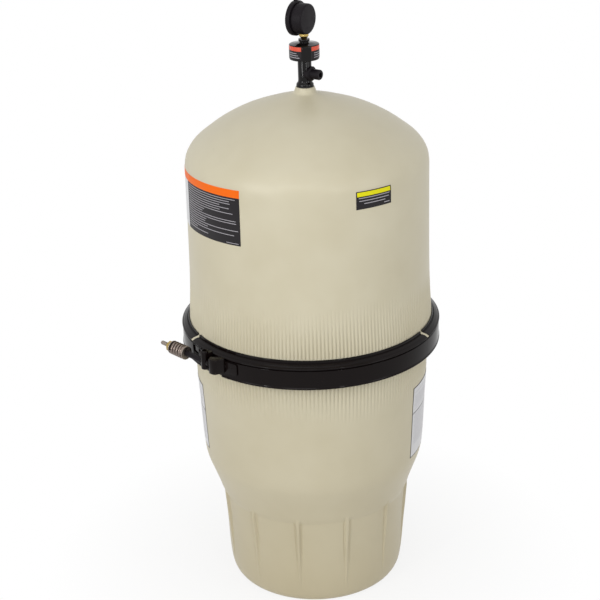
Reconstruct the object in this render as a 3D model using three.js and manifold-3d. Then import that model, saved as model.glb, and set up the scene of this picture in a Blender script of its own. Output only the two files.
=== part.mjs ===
// Pool cartridge-filter tank: two moulded shells held by a three-part V clamp,
// four pleated elements inside, a relief valve and a pressure gauge on top.
// Millimetres, +Z up, origin on the tank axis at the floor. Azimuth 0 is the
// front, -Y, and grows towards +X.
import * as THREE from "three";
import { mergeVertices } from "three/addons/utils/BufferGeometryUtils.js";
import Module from "manifold-3d";

const wasm = await Module();
wasm.setup();

// Clearances and rounding
const gap = 0.3;
const runningGap = 0.4;
const overrun = 2;
const roundSegments = 36;
const smallSegments = 14;
const tinySegments = 10;
const gaugeSegments = 22;
const gripSides = 6;
const bendSteps = 6;
const fullTurn = 360;

// Tank shells
const splitHeight = 573;
const upperHeight = 520;
const lowerRadius = 245;
const upperStepOut = 5;
const shellWall = 6.5;
const footWall = 6;
const flangeReach = 21;
const lowerFlangeThickness = 15.6;
const flangeSlopeRise = 10.6;
const upperFlangeThickness = 18.5;
const shoulderReach = 10.8;
const sealReach = 12.5;
const sealSection = 2;
const bossRadius = 22;
const bossTopRadius = 19;
const bossHeight = 12;
const bossBore = 10.3;
const dishHeightShare = 0.2653;
const dishRise = 60;
const dishRimShare = 0.9;
const dishMiddleShare = 0.6;
const dishRimRiseShare = 0.72;
const dishMiddleRiseShare = 0.2;
const underRimShare = 0.88;
const underRimRiseShare = 0.55;
const domeWallShare = 0.7;
const straightWallPoints = 5;

// Vertical ribs round the foot
const ribCount = 12;
const ribAzimuth = 19.7;
const ribWidth = 8;
const ribTipWidth = 4;
const ribProud = 4.5;
const ribCrestShare = 0.7;
const ribTopShare = 0.3578;
const ribBottomShare = 0.0698;

// Clamp
const clampHeight = 44;
const retainerWall = 3.2;
const lowerLipDrop = 1;
const upperLipRise = 0.7;
const strapThickness = 3;
const strapHeight = 42;
const lowerLipClearance = 2.5;
const lipThickness = 3.2;
const ridgeProud = 1.2;
const retainerGapWidth = 3;
const frontLeftAzimuth = -63.8;
const frontRightAzimuth = 61.6;
const backAzimuth = 179;
const leftStrapEnd = -47;
const frontStrapEnd = -42;
const frontPlateOverhang = 2;

// Clamp bolt and its stack, laid along a tangent of the strap
const boltAzimuth = -46;
const boltStandOff = 16.1;
const boltRise = 8;
const boltRadius = 4.25;
const boltHeadStation = -15;
const boltHeadRadius = 5.5;
const boltHeadLength = 30;
const boltLength = 161;
const boltBore = 4.65;
const loopRadius = 9;
const loopHeight = 38;
const loopWindow = 12;
const plateProud = 2.2;
const webSink = 1;
const plateHeight = 28;
const plateAzimuthSpan = 11;
const barrelStation = 10;
const barrelRadius = 8;
const barrelHeight = 41;
const barrelRise = 4.5;
const barrelWeb = 9;
const leftPlateSpan = 14;
const sleeveRadius = 6;
const sleeveLength = 48.5;
const washerRadius = 14;
const washerThickness = 2.3;
const springRadius = 14;
const springWire = 4.2;
const springLength = 38;
const springTurns = 6;
const nutAcrossFlats = 20;
const nutThickness = 11.6;

// Ports on the back
const outletHeightShare = 0.5585;
const inletDrop = 50;
const portPadRadius = 46;
const portPadProud = 2;
const portPadDepth = 21;
const portRadius = 30;
const portBore = 25;
const portFlangeRadius = 44;
const portFlangeThickness = 8;
const portGasket = 3;
const portInnerReach = 11;
const portOuterReach = 26;
const innerNutRadius = 39;
const innerNutThickness = 7;
const unionRadius = 45;
const unionLength = 34;
const unionLip = 6;
const unionGrips = 12;
const unionGripRadius = 3;
const tailLength = 48;
const tailRadius = 36.5;
const tailStep = 4;
const tailSocketRadius = 30.2;
const tailCollar = 8;

// Drain
const drainHeightShare = 0.4154;
const drainPadRadius = 22;
const drainPadSink = 19;
const drainPadDepth = 24;
const drainRadius = 13.6;
const drainPlugDepth = 19;
const drainHeadRadius = 18;
const drainHeadLength = 15;
const drainDiscThickness = 5;
const drainGripAcrossFlats = 27;
const drainGripBore = 6.8;
const drainSeal = 2.4;

// Elements and the pieces that carry them
const elementWallClearance = 24.5;
const elementSpacing = 2.19;
const elementLift = 28;
const elementTopDrop = 141;
const elementAzimuth = 45;
const elementBore = 40;
const elementCount = 4;
const pleatCount = 30;
const pleatDepthShare = 0.36;
const endCapThickness = 14;
const endCapBore = 33;
const coreWall = 3;
const manifoldLift = 28;
const manifoldThickness = 22;
const manifoldInset = 18;
const spigotRadius = 31;
const spigotWall = 4;
const spigotReach = 16;
const topManifoldThickness = 18;
const topManifoldInset = 36;
const bleedRadius = 9;
const bleedBore = 6.5;
const bleedTopDrop = 59;
const strainerRadius = 13;
const strainerLength = 24;
const strainerSeatLength = 12;
const strainerShoulderLength = 8;
const strainerCrownShare = 0.7;
const elbowRadius = 24;
const elbowBore = 20;
const elbowBend = 28;
const elbowSpigot = 12;
const elbowRun = 25;

// Relief valve, on the tank axis
const valveFlangeRadius = 17.7;
const valveFlangeThickness = 6;
const valveSeal = 2.2;
const valveSealBore = 11;
const valveBodyRadius = 14;
const valveBodyLength = 54.2;
const valveStubRadius = 10;
const valveStubLength = 20;
const valveBore = 4;
const valveColumnRadius = 9;
const valveNeckRadius = 10.8;
const valveNeckRise = 3.1;
const valveNeckHeight = 4.6;
const knobRadius = 30.3;
const knobSkirtHeight = 30.5;
const knobRound = 5;
const knobColumnWidth = 20.5;
const knobColumnDepth = 5.5;
const knobColumnProud = 1.75;
const outletAzimuth = 55;
const outletAxisRise = 22.2;
const outletTubeRadius = 10.3;
const outletCollarRadius = 15;
const outletCollarStart = 13;
const outletCollarLength = 5;
const outletReach = 38;
const outletBore = 5;
const stemSocketRadius = 6.4;
const stemSocketDepth = 9;

// Gauge
const stemHexAcrossFlats = 19.6;
const stemHexHeight = 6.5;
const stemConeHeight = 3.3;
const stemConeRadius = 6.6;
const stemThreadRadius = 6;
const stemNeckRadius = 6.4;
const stemBore = 2.4;
const gaugeFacing = -122;
const gaugeBack = -11.3;
const gaugeCaseRadius = 29.6;
const gaugeCaseDepth = 26;
const gaugeCaseWall = 2.4;
const bezelRadius = 35.2;
const bezelStart = 12;
const bezelDepth = 10;
const bezelWindow = 26.5;
const bezelLip = 2;
const bezelEdge = 1;
const dialRadius = 26.5;
const dialThickness = 1;
const dialInset = 6;
const lensRadius = 29;
const lensThickness = 1.8;
const tabWidth = 7;
const tabHeight = 4.4;
const tabDepth = 7;
const tabSeatShare = 0.25;
const pointerLength = 20;
const pointerTail = 7;
const pointerWidth = 2.6;
const pointerThickness = 0.8;
const pointerHubRadius = 3;
const pointerPinRadius = 1.1;
const pointerRest = 135;

// Outlines as shares: [radius, height] of the shell they belong to.
// Lower shell heights are shares of the split height, upper ones of the
// upper shell's height above the split.
const footOutlineShares = [
  [0.73, 0],
  [0.751, 0.005],
  [0.763, 0.021],
  [0.79, 0.105],
  [0.8, 0.209],
  [0.816, 0.297],
  [0.835, 0.358],
];
const bowlOutlineShares = [
  [0.849, 0.384],
  [0.878, 0.419],
  [0.909, 0.454],
  [0.939, 0.489],
  [0.961, 0.524],
  [0.972, 0.593],
  [0.985, 0.698],
  [0.993, 0.873],
  [0.997, 0.956],
];
const upperOutlineShares = [
  [1.0215, 0.085],
  [1.0052, 0.244],
  [1.0012, 0.437],
  [0.9992, 0.629],
  [1.001, 0.687],
  [0.988, 0.735],
  [0.962, 0.762],
  [0.928, 0.783],
  [0.832, 0.821],
  [0.719, 0.86],
  [0.572, 0.898],
  [0.416, 0.927],
  [0.228, 0.956],
];

// Heights and radii that follow from the sizes above
const upperRadius = lowerRadius + upperStepOut;
const flangeRadius = lowerRadius + flangeReach;
const clampShoulderRadius = lowerRadius + shoulderReach;
const sealRadius = lowerRadius + sealReach;
const lowerFlangeBottom = splitHeight - lowerFlangeThickness;
const upperFlangeTop = splitHeight + upperFlangeThickness;
const upperFace = splitHeight + gap;
const bossTop = splitHeight + upperHeight;
const dishHeight = dishHeightShare * splitHeight;
const ribTop = ribTopShare * splitHeight;
const ribBottom = ribBottomShare * splitHeight;
const outletHeight = outletHeightShare * splitHeight;
const drainHeight = drainHeightShare * splitHeight;
const portPadFace = lowerRadius + portPadProud;
const drainPadFace = lowerRadius - drainPadSink;
const clampBottom = lowerFlangeBottom - retainerWall - lowerLipDrop - lipThickness;
const inletHeight = clampBottom - inletDrop;
const clampTop = upperFlangeTop + flangeSlopeRise + upperLipRise + lipThickness;
const lowerLipRadius = lowerRadius + lowerLipClearance;
const upperLipRadius = clampShoulderRadius + runningGap;
const retainerOuter = flangeRadius + runningGap + retainerWall;
const strapInner = retainerOuter + gap;
const strapOuter = strapInner + strapThickness;
const boltAxisRadius = strapOuter + boltStandOff;
const boltHeight = clampBottom + clampHeight / 2 + boltRise;
const manifoldBottom = dishHeight + dishRise + manifoldLift;
const manifoldTop = manifoldBottom + manifoldThickness;
const elementBottom = manifoldTop + elementLift;
const elementTop = bossTop - elementTopDrop;
const elementLength = elementTop - elementBottom;
const elementReach = lowerRadius - shellWall - elementWallClearance;
const ringShare = 2 * Math.sin(Math.PI / elementCount);
const elementRadius = (elementReach * ringShare - elementSpacing) / (2 + ringShare);
const elementOffset = elementReach - elementRadius;
const manifoldRadius = elementReach - manifoldInset;
const topManifoldRadius = elementReach - topManifoldInset;
const bleedTop = bossTop - bleedTopDrop;
const valveSealTop = bossTop + gap + valveSeal;
const valveFoot = valveSealTop + gap;
const valveBodyTop = valveFoot + valveBodyLength;
const outletAxis = valveFoot + outletAxisRise;
const knobBottom = valveBodyTop + gap;
const knobShoulder = knobBottom + knobSkirtHeight;
const knobTop = knobShoulder + knobRound / 2;
const valveNeckBottom = knobTop + valveNeckRise;
const valveNeckTop = valveNeckBottom + valveNeckHeight;
const stemConeBottom = valveNeckTop + gap;
const hexBottom = stemConeBottom + stemConeHeight;
const hexTop = hexBottom + stemHexHeight;
const gaugeAxisHeight = hexTop + gap + gaugeCaseRadius;
const gaugeCaseFront = gaugeBack + gaugeCaseDepth;
const dialFace = gaugeCaseFront - dialInset;

const deg = Math.PI / 180;

// Radius of a faceted bore that a turned rod of a given radius clears at any angle.
function freeBore(radius, clearance) {
  return (radius + clearance) / Math.cos(Math.PI / smallSegments);
}

function spot(azimuth, radius, height) {
  return new THREE.Vector3(radius * Math.sin(azimuth * deg), -radius * Math.cos(azimuth * deg), height);
}

// Closed body work

function closed(geometry) {
  const bare = geometry.index ? geometry.toNonIndexed() : geometry.clone();
  bare.deleteAttribute("normal");
  bare.deleteAttribute("uv");
  const merged = mergeVertices(bare, 1e-4);
  const source = merged.index.array;
  const place = merged.attributes.position;
  const kept = [];
  const a = new THREE.Vector3();
  const b = new THREE.Vector3();
  const c = new THREE.Vector3();
  let volume = 0;
  for (let i = 0; i < source.length; i += 3) {
    if (source[i] === source[i + 1] || source[i + 1] === source[i + 2] || source[i] === source[i + 2]) {
      continue;
    }
    kept.push(source[i], source[i + 1], source[i + 2]);
    a.fromBufferAttribute(place, source[i]);
    b.fromBufferAttribute(place, source[i + 1]);
    c.fromBufferAttribute(place, source[i + 2]);
    volume += a.dot(b.clone().cross(c));
  }
  if (volume < 0) {
    for (let i = 0; i < kept.length; i += 3) {
      [kept[i], kept[i + 1]] = [kept[i + 1], kept[i]];
    }
  }
  merged.setIndex(kept);
  return merged;
}

function solid(geometry) {
  const body = closed(geometry);
  return new wasm.Manifold(
    new wasm.Mesh({
      numProp: 3,
      vertProperties: new Float32Array(body.attributes.position.array),
      triVerts: new Uint32Array(body.index.array),
    }),
  );
}

function surface(body) {
  const mesh = body.getMesh();
  const geometry = new THREE.BufferGeometry();
  const places = new Float32Array(mesh.vertProperties.length);
  places.set(mesh.vertProperties);
  geometry.setAttribute("position", new THREE.BufferAttribute(places, 3));
  geometry.setIndex(Array.from(mesh.triVerts));
  return geometry;
}

function join(...geometries) {
  return surface(geometries.map(solid).reduce((whole, next) => whole.add(next)));
}

function cut(geometry, ...cutters) {
  return surface(cutters.map(solid).reduce((whole, next) => whole.subtract(next), solid(geometry)));
}

// Shapes

// A ring or disc turned about Z from [radius, height] points.
function turned(points, segments = roundSegments) {
  const outline = points.map(([radius, height]) => new THREE.Vector2(radius, height));
  const onAxis = points[0][0] === 0 && points[points.length - 1][0] === 0;
  if (!onAxis) {
    outline.push(outline[0].clone());
  }
  const geometry = new THREE.LatheGeometry(outline, segments);
  geometry.rotateX(Math.PI / 2);
  return closed(geometry);
}

function tube(outer, inner, bottom, height, segments = smallSegments) {
  const top = bottom + height;
  return turned([[inner, bottom], [outer, bottom], [outer, top], [inner, top]], segments);
}

function rod(radius, bottom, height, segments = smallSegments) {
  const top = bottom + height;
  return turned([[0, bottom], [radius, bottom], [radius, top], [0, top]], segments);
}

function hexTube(acrossFlats, bore, bottom, height) {
  const shape = new THREE.Shape();
  const corner = acrossFlats / Math.sqrt(3);
  for (let i = 0; i < 6; i += 1) {
    const angle = (i + 0.5) * Math.PI / 3;
    shape[i ? "lineTo" : "moveTo"](corner * Math.cos(angle), corner * Math.sin(angle));
  }
  shape.closePath();
  const hole = new THREE.Path();
  hole.absarc(0, 0, bore, 0, 2 * Math.PI);
  shape.holes.push(hole);
  return raised(shape, bottom, height);
}

// An outline raised from a height, with its holes on the small facets.
function raised(shape, bottom, height) {
  const settings = { depth: height, bevelEnabled: false, curveSegments: smallSegments / 2 };
  const geometry = new THREE.ExtrudeGeometry(shape, settings);
  geometry.translate(0, 0, bottom);
  return closed(geometry);
}

function block(width, depth, height, x, y, z) {
  const geometry = new THREE.BoxGeometry(width, depth, height);
  geometry.translate(x, y, z);
  return geometry;
}

// A closed [radius, height] outline swept between two azimuths, on the same
// facets as the turned shells.
function arc(points, from, to) {
  const outline = points.map(([radius, height]) => new THREE.Vector2(radius, height));
  const facet = 360 / roundSegments;
  const azimuths = [from];
  for (let corner = Math.floor(from / facet + 1); corner * facet < to; corner += 1) {
    azimuths.push(corner * facet);
  }
  azimuths.push(to);
  const steps = azimuths.length - 1;
  const places = [];
  for (const azimuth of azimuths) {
    const fromMiddle = azimuth - (Math.floor(azimuth / facet) + 0.5) * facet;
    const flat = Math.cos(facet / 2 * deg) / Math.cos(fromMiddle * deg);
    for (const point of outline) {
      places.push(...spot(azimuth, point.x * flat, point.y).toArray());
    }
  }
  const faces = [];
  const count = outline.length;
  for (let i = 0; i < steps; i += 1) {
    for (let j = 0; j < count; j += 1) {
      const k = (j + 1) % count;
      const here = i * count;
      const next = here + count;
      faces.push(here + j, here + k, next + k, here + j, next + k, next + j);
    }
  }
  for (const [p, q, r] of THREE.ShapeUtils.triangulateShape(outline, [])) {
    faces.push(...sameTurn(outline, p, q, r));
    const last = steps * count;
    const [x, y, z] = sameTurn(outline, p, q, r);
    faces.push(last + z, last + y, last + x);
  }
  return faced(places, faces);
}

// Cap triangles that turn against the outline's own direction, as the sides expect.
function sameTurn(outline, p, q, r) {
  const area = THREE.ShapeUtils.area(outline);
  const turn = THREE.ShapeUtils.area([outline[p], outline[q], outline[r]]);
  return area * turn > 0 ? [p, r, q] : [p, q, r];
}

function faced(places, faces) {
  const geometry = new THREE.BufferGeometry();
  geometry.setAttribute("position", new THREE.Float32BufferAttribute(places, 3));
  geometry.setIndex(faces);
  return closed(geometry);
}

// A tube that follows a path, with an open bore.
function piped(path, outer, inner, steps) {
  const shape = new THREE.Shape();
  shape.absarc(0, 0, outer, 0, 2 * Math.PI);
  const hole = new THREE.Path();
  hole.absarc(0, 0, inner, 0, 2 * Math.PI);
  shape.holes.push(hole);
  const settings = { extrudePath: path, steps, curveSegments: tinySegments / 2, bevelEnabled: false };
  return closed(new THREE.ExtrudeGeometry(shape, settings));
}

// Turns a shape made about Z so that its axis runs along +Y, at a height.
function facingBack(geometry, height) {
  geometry.rotateX(-Math.PI / 2);
  geometry.translate(0, 0, height);
  return geometry;
}

// Frames

// Bolt frame: first axis along the bolt, second away from the tank, third up.
const boltFrame = new THREE.Matrix4()
  .makeBasis(spot(boltAzimuth - 90, 1, 0), spot(boltAzimuth, 1, 0), new THREE.Vector3(0, 0, 1))
  .setPosition(spot(boltAzimuth, boltAxisRadius, boltHeight));

// Gauge frame: third axis out of the dial, second up.
const gaugeAxis = spot(gaugeFacing, 1, 0);
const gaugeFrame = new THREE.Matrix4()
  .makeBasis(new THREE.Vector3(0, 0, 1).cross(gaugeAxis), new THREE.Vector3(0, 0, 1), gaugeAxis)
  .setPosition(0, 0, gaugeAxisHeight);

// A shape made about Z, laid along the bolt at a station.
function alongBolt(geometry) {
  geometry.rotateY(Math.PI / 2);
  return geometry.applyMatrix4(boltFrame);
}

// Group and materials

const filter = new THREE.Group();

function finish(colour, roughness, metalness = 0) {
  return { color: colour, roughness, metalness };
}

const creamPlastic = finish("#cdc5a9", 0.42);
const blackCoat = finish("#15100f", 0.25, 0.3);
const blackPlastic = finish("#1b1817", 0.4);
const plainSteel = finish("#8c817c", 0.4, 0.9);
const brass = finish("#c2a75a", 0.35, 1);
const rubber = finish("#1c1c1c", 0.8);
const whitePlastic = finish("#e4e3dc", 0.5);
const greyPlastic = finish("#55585a", 0.55);
const pleatCloth = finish("#eceef0", 0.9);
const capPlastic = finish("#2f5f9e", 0.6);
const clearPlastic = finish("#dfe6ea", 0.1);
const dialPaint = finish("#f3f3f0", 0.6);
const pointerPaint = finish("#101010", 0.5);

function piece(name, look, geometry) {
  const mesh = new THREE.Mesh(geometry, new THREE.MeshStandardMaterial(look));
  mesh.name = name;
  filter.add(mesh);
  return mesh;
}

// Tank

function lowerPoint([radius, height]) {
  return [radius * lowerRadius, height * splitHeight];
}

function upperPoint([radius, height]) {
  return [radius * upperRadius, splitHeight + height * upperHeight];
}

function lowerShell() {
  const foot = footOutlineShares.map(lowerPoint);
  const bowl = bowlOutlineShares.map(lowerPoint);
  const lastBowl = bowl[bowl.length - 1];
  const bowlInner = bowl.filter((point, index) => index > 1 && index % 2 === 0);
  const inner = bowlInner.map(([radius, height]) => [radius - shellWall, height]).reverse();
  const footInside = foot.filter((point, index) => index % 2 === 0 && index < foot.length - 1);
  const footInner = footInside.map(([radius, height]) => [radius - footWall, height]).reverse();
  const seatRadius = lastBowl[0] - shellWall;
  const footTop = foot[foot.length - 1];
  const dish = [
    [footTop[0] * dishRimShare, dishHeight + dishRise * dishRimRiseShare],
    [footTop[0] * dishMiddleShare, dishHeight + dishRise * dishMiddleRiseShare],
    [0, dishHeight],
  ];
  const underDish = [
    [0, dishHeight - shellWall],
    [footTop[0] * dishMiddleShare, dishHeight + dishRise * dishMiddleRiseShare - shellWall],
    [footTop[0] * underRimShare, dishHeight + dishRise * underRimRiseShare - shellWall],
  ];
  const profile = [
    ...underDish,
    ...footInner,
    ...foot,
    ...bowl,
    [lastBowl[0], lowerFlangeBottom - retainerWall],
    [flangeRadius - retainerWall, lowerFlangeBottom],
    [flangeRadius, lowerFlangeBottom + retainerWall],
    [flangeRadius, splitHeight],
    [seatRadius, splitHeight],
    ...inner,
    ...dish,
  ];
  const pads = [outletHeight, inletHeight].map((height) => portPad(height));
  const bores = [outletHeight, inletHeight].map((height) => portHole(height));
  const seats = [outletHeight, inletHeight].map((height) => lockNutSeat(height));
  const drainPad = facingBack(rod(drainPadRadius, drainPadFace - drainPadDepth, drainPadDepth), drainHeight);
  const drainHole = facingBack(
    rod(freeBore(drainRadius, gap), drainPadFace - drainPadDepth - overrun, drainPadDepth + 2 * overrun),
    drainHeight,
  );
  const sealGroove = turned([
    [sealRadius - sealSection - gap, splitHeight - sealSection],
    [sealRadius + sealSection + gap, splitHeight - sealSection],
    [sealRadius + sealSection + gap, splitHeight + overrun],
    [sealRadius - sealSection - gap, splitHeight + overrun],
  ]);
  const whole = join(turned(profile), ...footRibs(), ...pads, drainPad);
  return cut(whole, ...bores, ...seats, drainHole, sealGroove);
}

function portPad(height) {
  return facingBack(rod(portPadRadius, portPadFace - portPadDepth, portPadDepth), height);
}

function portHole(height) {
  const hole = rod(portRadius + gap, portPadFace - portPadDepth - overrun, portPadDepth + 2 * overrun);
  return facingBack(hole, height);
}

// Flat inside the wall that the lock nut is tightened on.
function lockNutSeat(height) {
  const depth = innerNutThickness + 2 * overrun;
  return facingBack(rod(innerNutRadius + 2 * gap, portPadFace - portPadDepth - depth, depth), height);
}

// Ribs that stand out of the foot and fade towards the floor.
function footRibs() {
  const ribs = [];
  const outline = footOutlineShares.map(lowerPoint);
  for (let i = 0; i < ribCount; i += 1) {
    const azimuth = ribAzimuth + i * fullTurn / ribCount;
    const low = radiusAt(outline, ribBottom);
    const high = radiusAt(outline, ribTop);
    const sections = [
      [ribBottom, low, ribTipWidth, 0],
      [ribTop, high, ribWidth, ribProud],
    ];
    const places = [];
    for (const [height, radius, width, proud] of sections) {
      const corners = [[-overrun, -1], [proud, -ribCrestShare], [proud, ribCrestShare], [-overrun, 1]];
      for (const [depth, side] of corners) {
        const across = side * width / 2;
        const point = new THREE.Vector3(across, -(radius + depth), height);
        places.push(...point.applyAxisAngle(new THREE.Vector3(0, 0, 1), azimuth * deg).toArray());
      }
    }
    ribs.push(faced(places, boxFaces()));
  }
  return ribs;
}

function boxFaces() {
  return [
    [0, 1, 2, 0, 2, 3],
    [4, 6, 5, 4, 7, 6],
    [0, 4, 5, 0, 5, 1],
    [1, 5, 6, 1, 6, 2],
    [2, 6, 7, 2, 7, 3],
    [3, 7, 4, 3, 4, 0],
  ].flat();
}

function radiusAt(outline, height) {
  for (let i = 1; i < outline.length; i += 1) {
    const [r0, z0] = outline[i - 1];
    const [r1, z1] = outline[i];
    if (height <= z1) {
      return r0 + (r1 - r0) * (height - z0) / (z1 - z0);
    }
  }
  return outline[outline.length - 1][0];
}

function upperShell() {
  const outer = upperOutlineShares.map(upperPoint);
  const inwardShift = shellWall * domeWallShare;
  const bent = outer.length - straightWallPoints;
  const inner = outer.map(([radius, height], index) => {
    const share = Math.max(0, (index + 1 - straightWallPoints) / bent);
    return [radius - shellWall + share * inwardShift, height - share * shellWall];
  }).reverse();
  const profile = [
    [outer[0][0] - shellWall, upperFace],
    [flangeRadius, upperFace],
    [flangeRadius, upperFlangeTop],
    [clampShoulderRadius, upperFlangeTop + flangeSlopeRise],
    ...outer,
    [bossRadius, bossTop - bossHeight],
    [bossTopRadius, bossTop],
    [bossBore, bossTop],
    [bossBore, bossTop - bossHeight - shellWall - retainerWall],
    ...inner,
  ];
  return turned(profile);
}

piece("lower_shell", creamPlastic, lowerShell());
piece("upper_shell", creamPlastic, upperShell());
piece("body_seal", rubber, turned([
  [sealRadius - sealSection, splitHeight - sealSection + gap],
  [sealRadius + sealSection, splitHeight - sealSection + gap],
  [sealRadius + sealSection, splitHeight],
  [sealRadius - sealSection, splitHeight],
]));

// Clamp

function retainer(from, to) {
  const webInner = flangeRadius + runningGap;
  const shoulder = clampBottom + clampHeight;
  const ridge = (retainerOuter + upperLipRadius) / 2;
  const ridgeHeight = (shoulder + clampTop) / 2;
  const half = retainerGapWidth / 2 / flangeRadius / deg;
  return arc([
    [lowerLipRadius, clampBottom],
    [retainerOuter, clampBottom],
    [retainerOuter, shoulder],
    [ridge + ridgeProud, ridgeHeight + ridgeProud],
    [ridge - ridgeProud, ridgeHeight + ridgeProud],
    [upperLipRadius + ridgeProud, clampTop],
    [upperLipRadius, clampTop],
    [upperLipRadius, clampTop - lipThickness],
    [webInner, clampTop - lipThickness - flangeSlopeRise],
    [webInner, clampBottom + lipThickness + retainerWall],
    [webInner - retainerWall, clampBottom + lipThickness],
    [lowerLipRadius, clampBottom + lipThickness],
  ], from + half, to - half);
}

function strap(from, to) {
  const bottom = clampBottom + (clampHeight - strapHeight) / 2;
  return arc([
    [strapInner, bottom],
    [strapOuter, bottom],
    [strapOuter, bottom + strapHeight],
    [strapInner, bottom + strapHeight],
  ], from, to);
}

const strapJoint = gap / 2 / strapInner / deg;
piece("retainer_front", blackCoat, retainer(frontLeftAzimuth, frontRightAzimuth));
piece("retainer_right", blackCoat, retainer(frontRightAzimuth, backAzimuth));
piece("retainer_left", blackCoat, retainer(backAzimuth, fullTurn + frontLeftAzimuth));
piece("strap_front", blackCoat, strap(frontStrapEnd, frontRightAzimuth - strapJoint));
piece("strap_right", blackCoat, strap(frontRightAzimuth + strapJoint, backAzimuth - strapJoint));
piece("strap_left", blackCoat, strap(backAzimuth + strapJoint, fullTurn + leftStrapEnd));

function plate(from, to) {
  const inner = strapOuter + gap;
  return arc([
    [inner, boltHeight - plateHeight / 2],
    [inner + plateProud, boltHeight - plateHeight / 2],
    [inner + plateProud, boltHeight + plateHeight / 2],
    [inner, boltHeight + plateHeight / 2],
  ], from, to);
}

// The loop on the front strap that holds the bolt's head.
function boltLoop() {
  const wall = new THREE.CylinderGeometry(loopRadius, loopRadius, loopHeight, smallSegments);
  wall.rotateX(Math.PI / 2);
  wall.translate(boltHeadStation, 0, 0);
  const bore = new THREE.CylinderGeometry(
    boltHeadRadius + gap,
    boltHeadRadius + gap,
    loopHeight + 2 * overrun,
    smallSegments,
  );
  bore.rotateX(Math.PI / 2);
  bore.translate(boltHeadStation, 0, 0);
  const window = block(2 * loopRadius, loopWindow, loopWindow, boltHeadStation + loopRadius, 0, 0);
  const outward = strapOuter + gap + plateProud / 2 - webSink - boltAxisRadius;
  const web = block(loopRadius, -outward, plateHeight, boltHeadStation - loopRadius / 2, outward / 2, 0);
  const shapes = [wall, bore, window, web].map((shape) => shape.applyMatrix4(boltFrame));
  const plateStart = frontStrapEnd - frontPlateOverhang;
  const body = join(shapes[0], shapes[3], plate(plateStart, plateStart + plateAzimuthSpan));
  return cut(body, shapes[1], shapes[2]);
}

function tBolt() {
  const head = new THREE.CylinderGeometry(boltHeadRadius, boltHeadRadius, boltHeadLength, smallSegments);
  head.rotateX(Math.PI / 2);
  head.translate(boltHeadStation, 0, 0);
  head.applyMatrix4(boltFrame);
  const shank = turned([
    [0, boltHeadStation],
    [boltRadius, boltHeadStation],
    [boltRadius, boltHeadStation + boltLength - boltRadius / 4],
    [boltRadius * 3 / 4, boltHeadStation + boltLength],
    [0, boltHeadStation + boltLength],
  ], tinySegments);
  return join(head, alongBolt(shank));
}

// The barrel on the left strap that the bolt passes through.
function barrelLug() {
  const barrel = new THREE.CylinderGeometry(barrelRadius, barrelRadius, barrelHeight, smallSegments);
  barrel.rotateX(Math.PI / 2);
  barrel.translate(barrelStation, 0, barrelRise);
  barrel.applyMatrix4(boltFrame);
  const inner = strapOuter + gap + plateProud / 2 - webSink;
  const depth = boltAxisRadius - inner;
  const web = block(barrelWeb, depth, plateHeight, barrelStation, -depth / 2, 0);
  web.applyMatrix4(boltFrame);
  const reach = barrelRadius + overrun;
  const bore = alongBolt(rod(boltBore, barrelStation - reach, 2 * reach, tinySegments));
  return cut(join(barrel, web, plate(leftStrapEnd - leftPlateSpan, leftStrapEnd)), bore);
}

const sleeveStart = barrelStation + barrelRadius + gap;
const innerWasherStart = sleeveStart + sleeveLength + gap;
const springStart = innerWasherStart + washerThickness + gap;
const outerWasherStart = springStart + springLength + gap;
const nutStart = outerWasherStart + washerThickness + gap;

// A round-wire helix whose ends are cut square to the wire.
function helix() {
  const wire = springWire / 2;
  const coil = springRadius - wire;
  const rise = springLength - springWire - 2 * gap;
  const stepsPerTurn = 8;
  const sides = 5;
  const steps = springTurns * stepsPerTurn;
  const slope = rise / (springTurns * 2 * Math.PI);
  const centres = [];
  const places = [];
  for (let i = 0; i <= steps; i += 1) {
    const angle = i / stepsPerTurn * 2 * Math.PI;
    const centre = new THREE.Vector3(
      coil * Math.cos(angle),
      coil * Math.sin(angle),
      springStart + wire + gap + rise * i / steps,
    );
    centres.push(centre);
    const forward = new THREE.Vector3(-coil * Math.sin(angle), coil * Math.cos(angle), slope).normalize();
    const outward = new THREE.Vector3(Math.cos(angle), Math.sin(angle), 0);
    const side = new THREE.Vector3().crossVectors(forward, outward);
    for (let j = 0; j < sides; j += 1) {
      const turn = j / sides * 2 * Math.PI;
      const point = centre.clone()
        .addScaledVector(outward, wire * Math.cos(turn))
        .addScaledVector(side, wire * Math.sin(turn));
      places.push(...point.toArray());
    }
  }
  const faces = [];
  for (let i = 0; i < steps; i += 1) {
    for (let j = 0; j < sides; j += 1) {
      const k = (j + 1) % sides;
      const here = i * sides;
      const next = here + sides;
      faces.push(here + j, next + k, here + k, here + j, next + j, next + k);
    }
  }
  for (let j = 1; j < sides - 1; j += 1) {
    faces.push(0, j, j + 1);
    const last = steps * sides;
    faces.push(last, last + j + 1, last + j);
  }
  printSpringGap(places, sides, stepsPerTurn);
  return alongBolt(faced(places, faces));
}

// Least distance between points of the wire that lie over half a turn apart.
function printSpringGap(places, sides, stepsPerTurn) {
  const count = places.length / 3;
  let least = Infinity;
  for (let i = 0; i < count; i += 1) {
    for (let j = i + sides * stepsPerTurn / 2; j < count; j += 1) {
      const apart = Math.hypot(
        places[3 * i] - places[3 * j],
        places[3 * i + 1] - places[3 * j + 1],
        places[3 * i + 2] - places[3 * j + 2],
      );
      least = Math.min(least, apart);
    }
  }
  console.log(`clamp_spring least gap to itself ${least.toFixed(2)} mm`);
}

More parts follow.
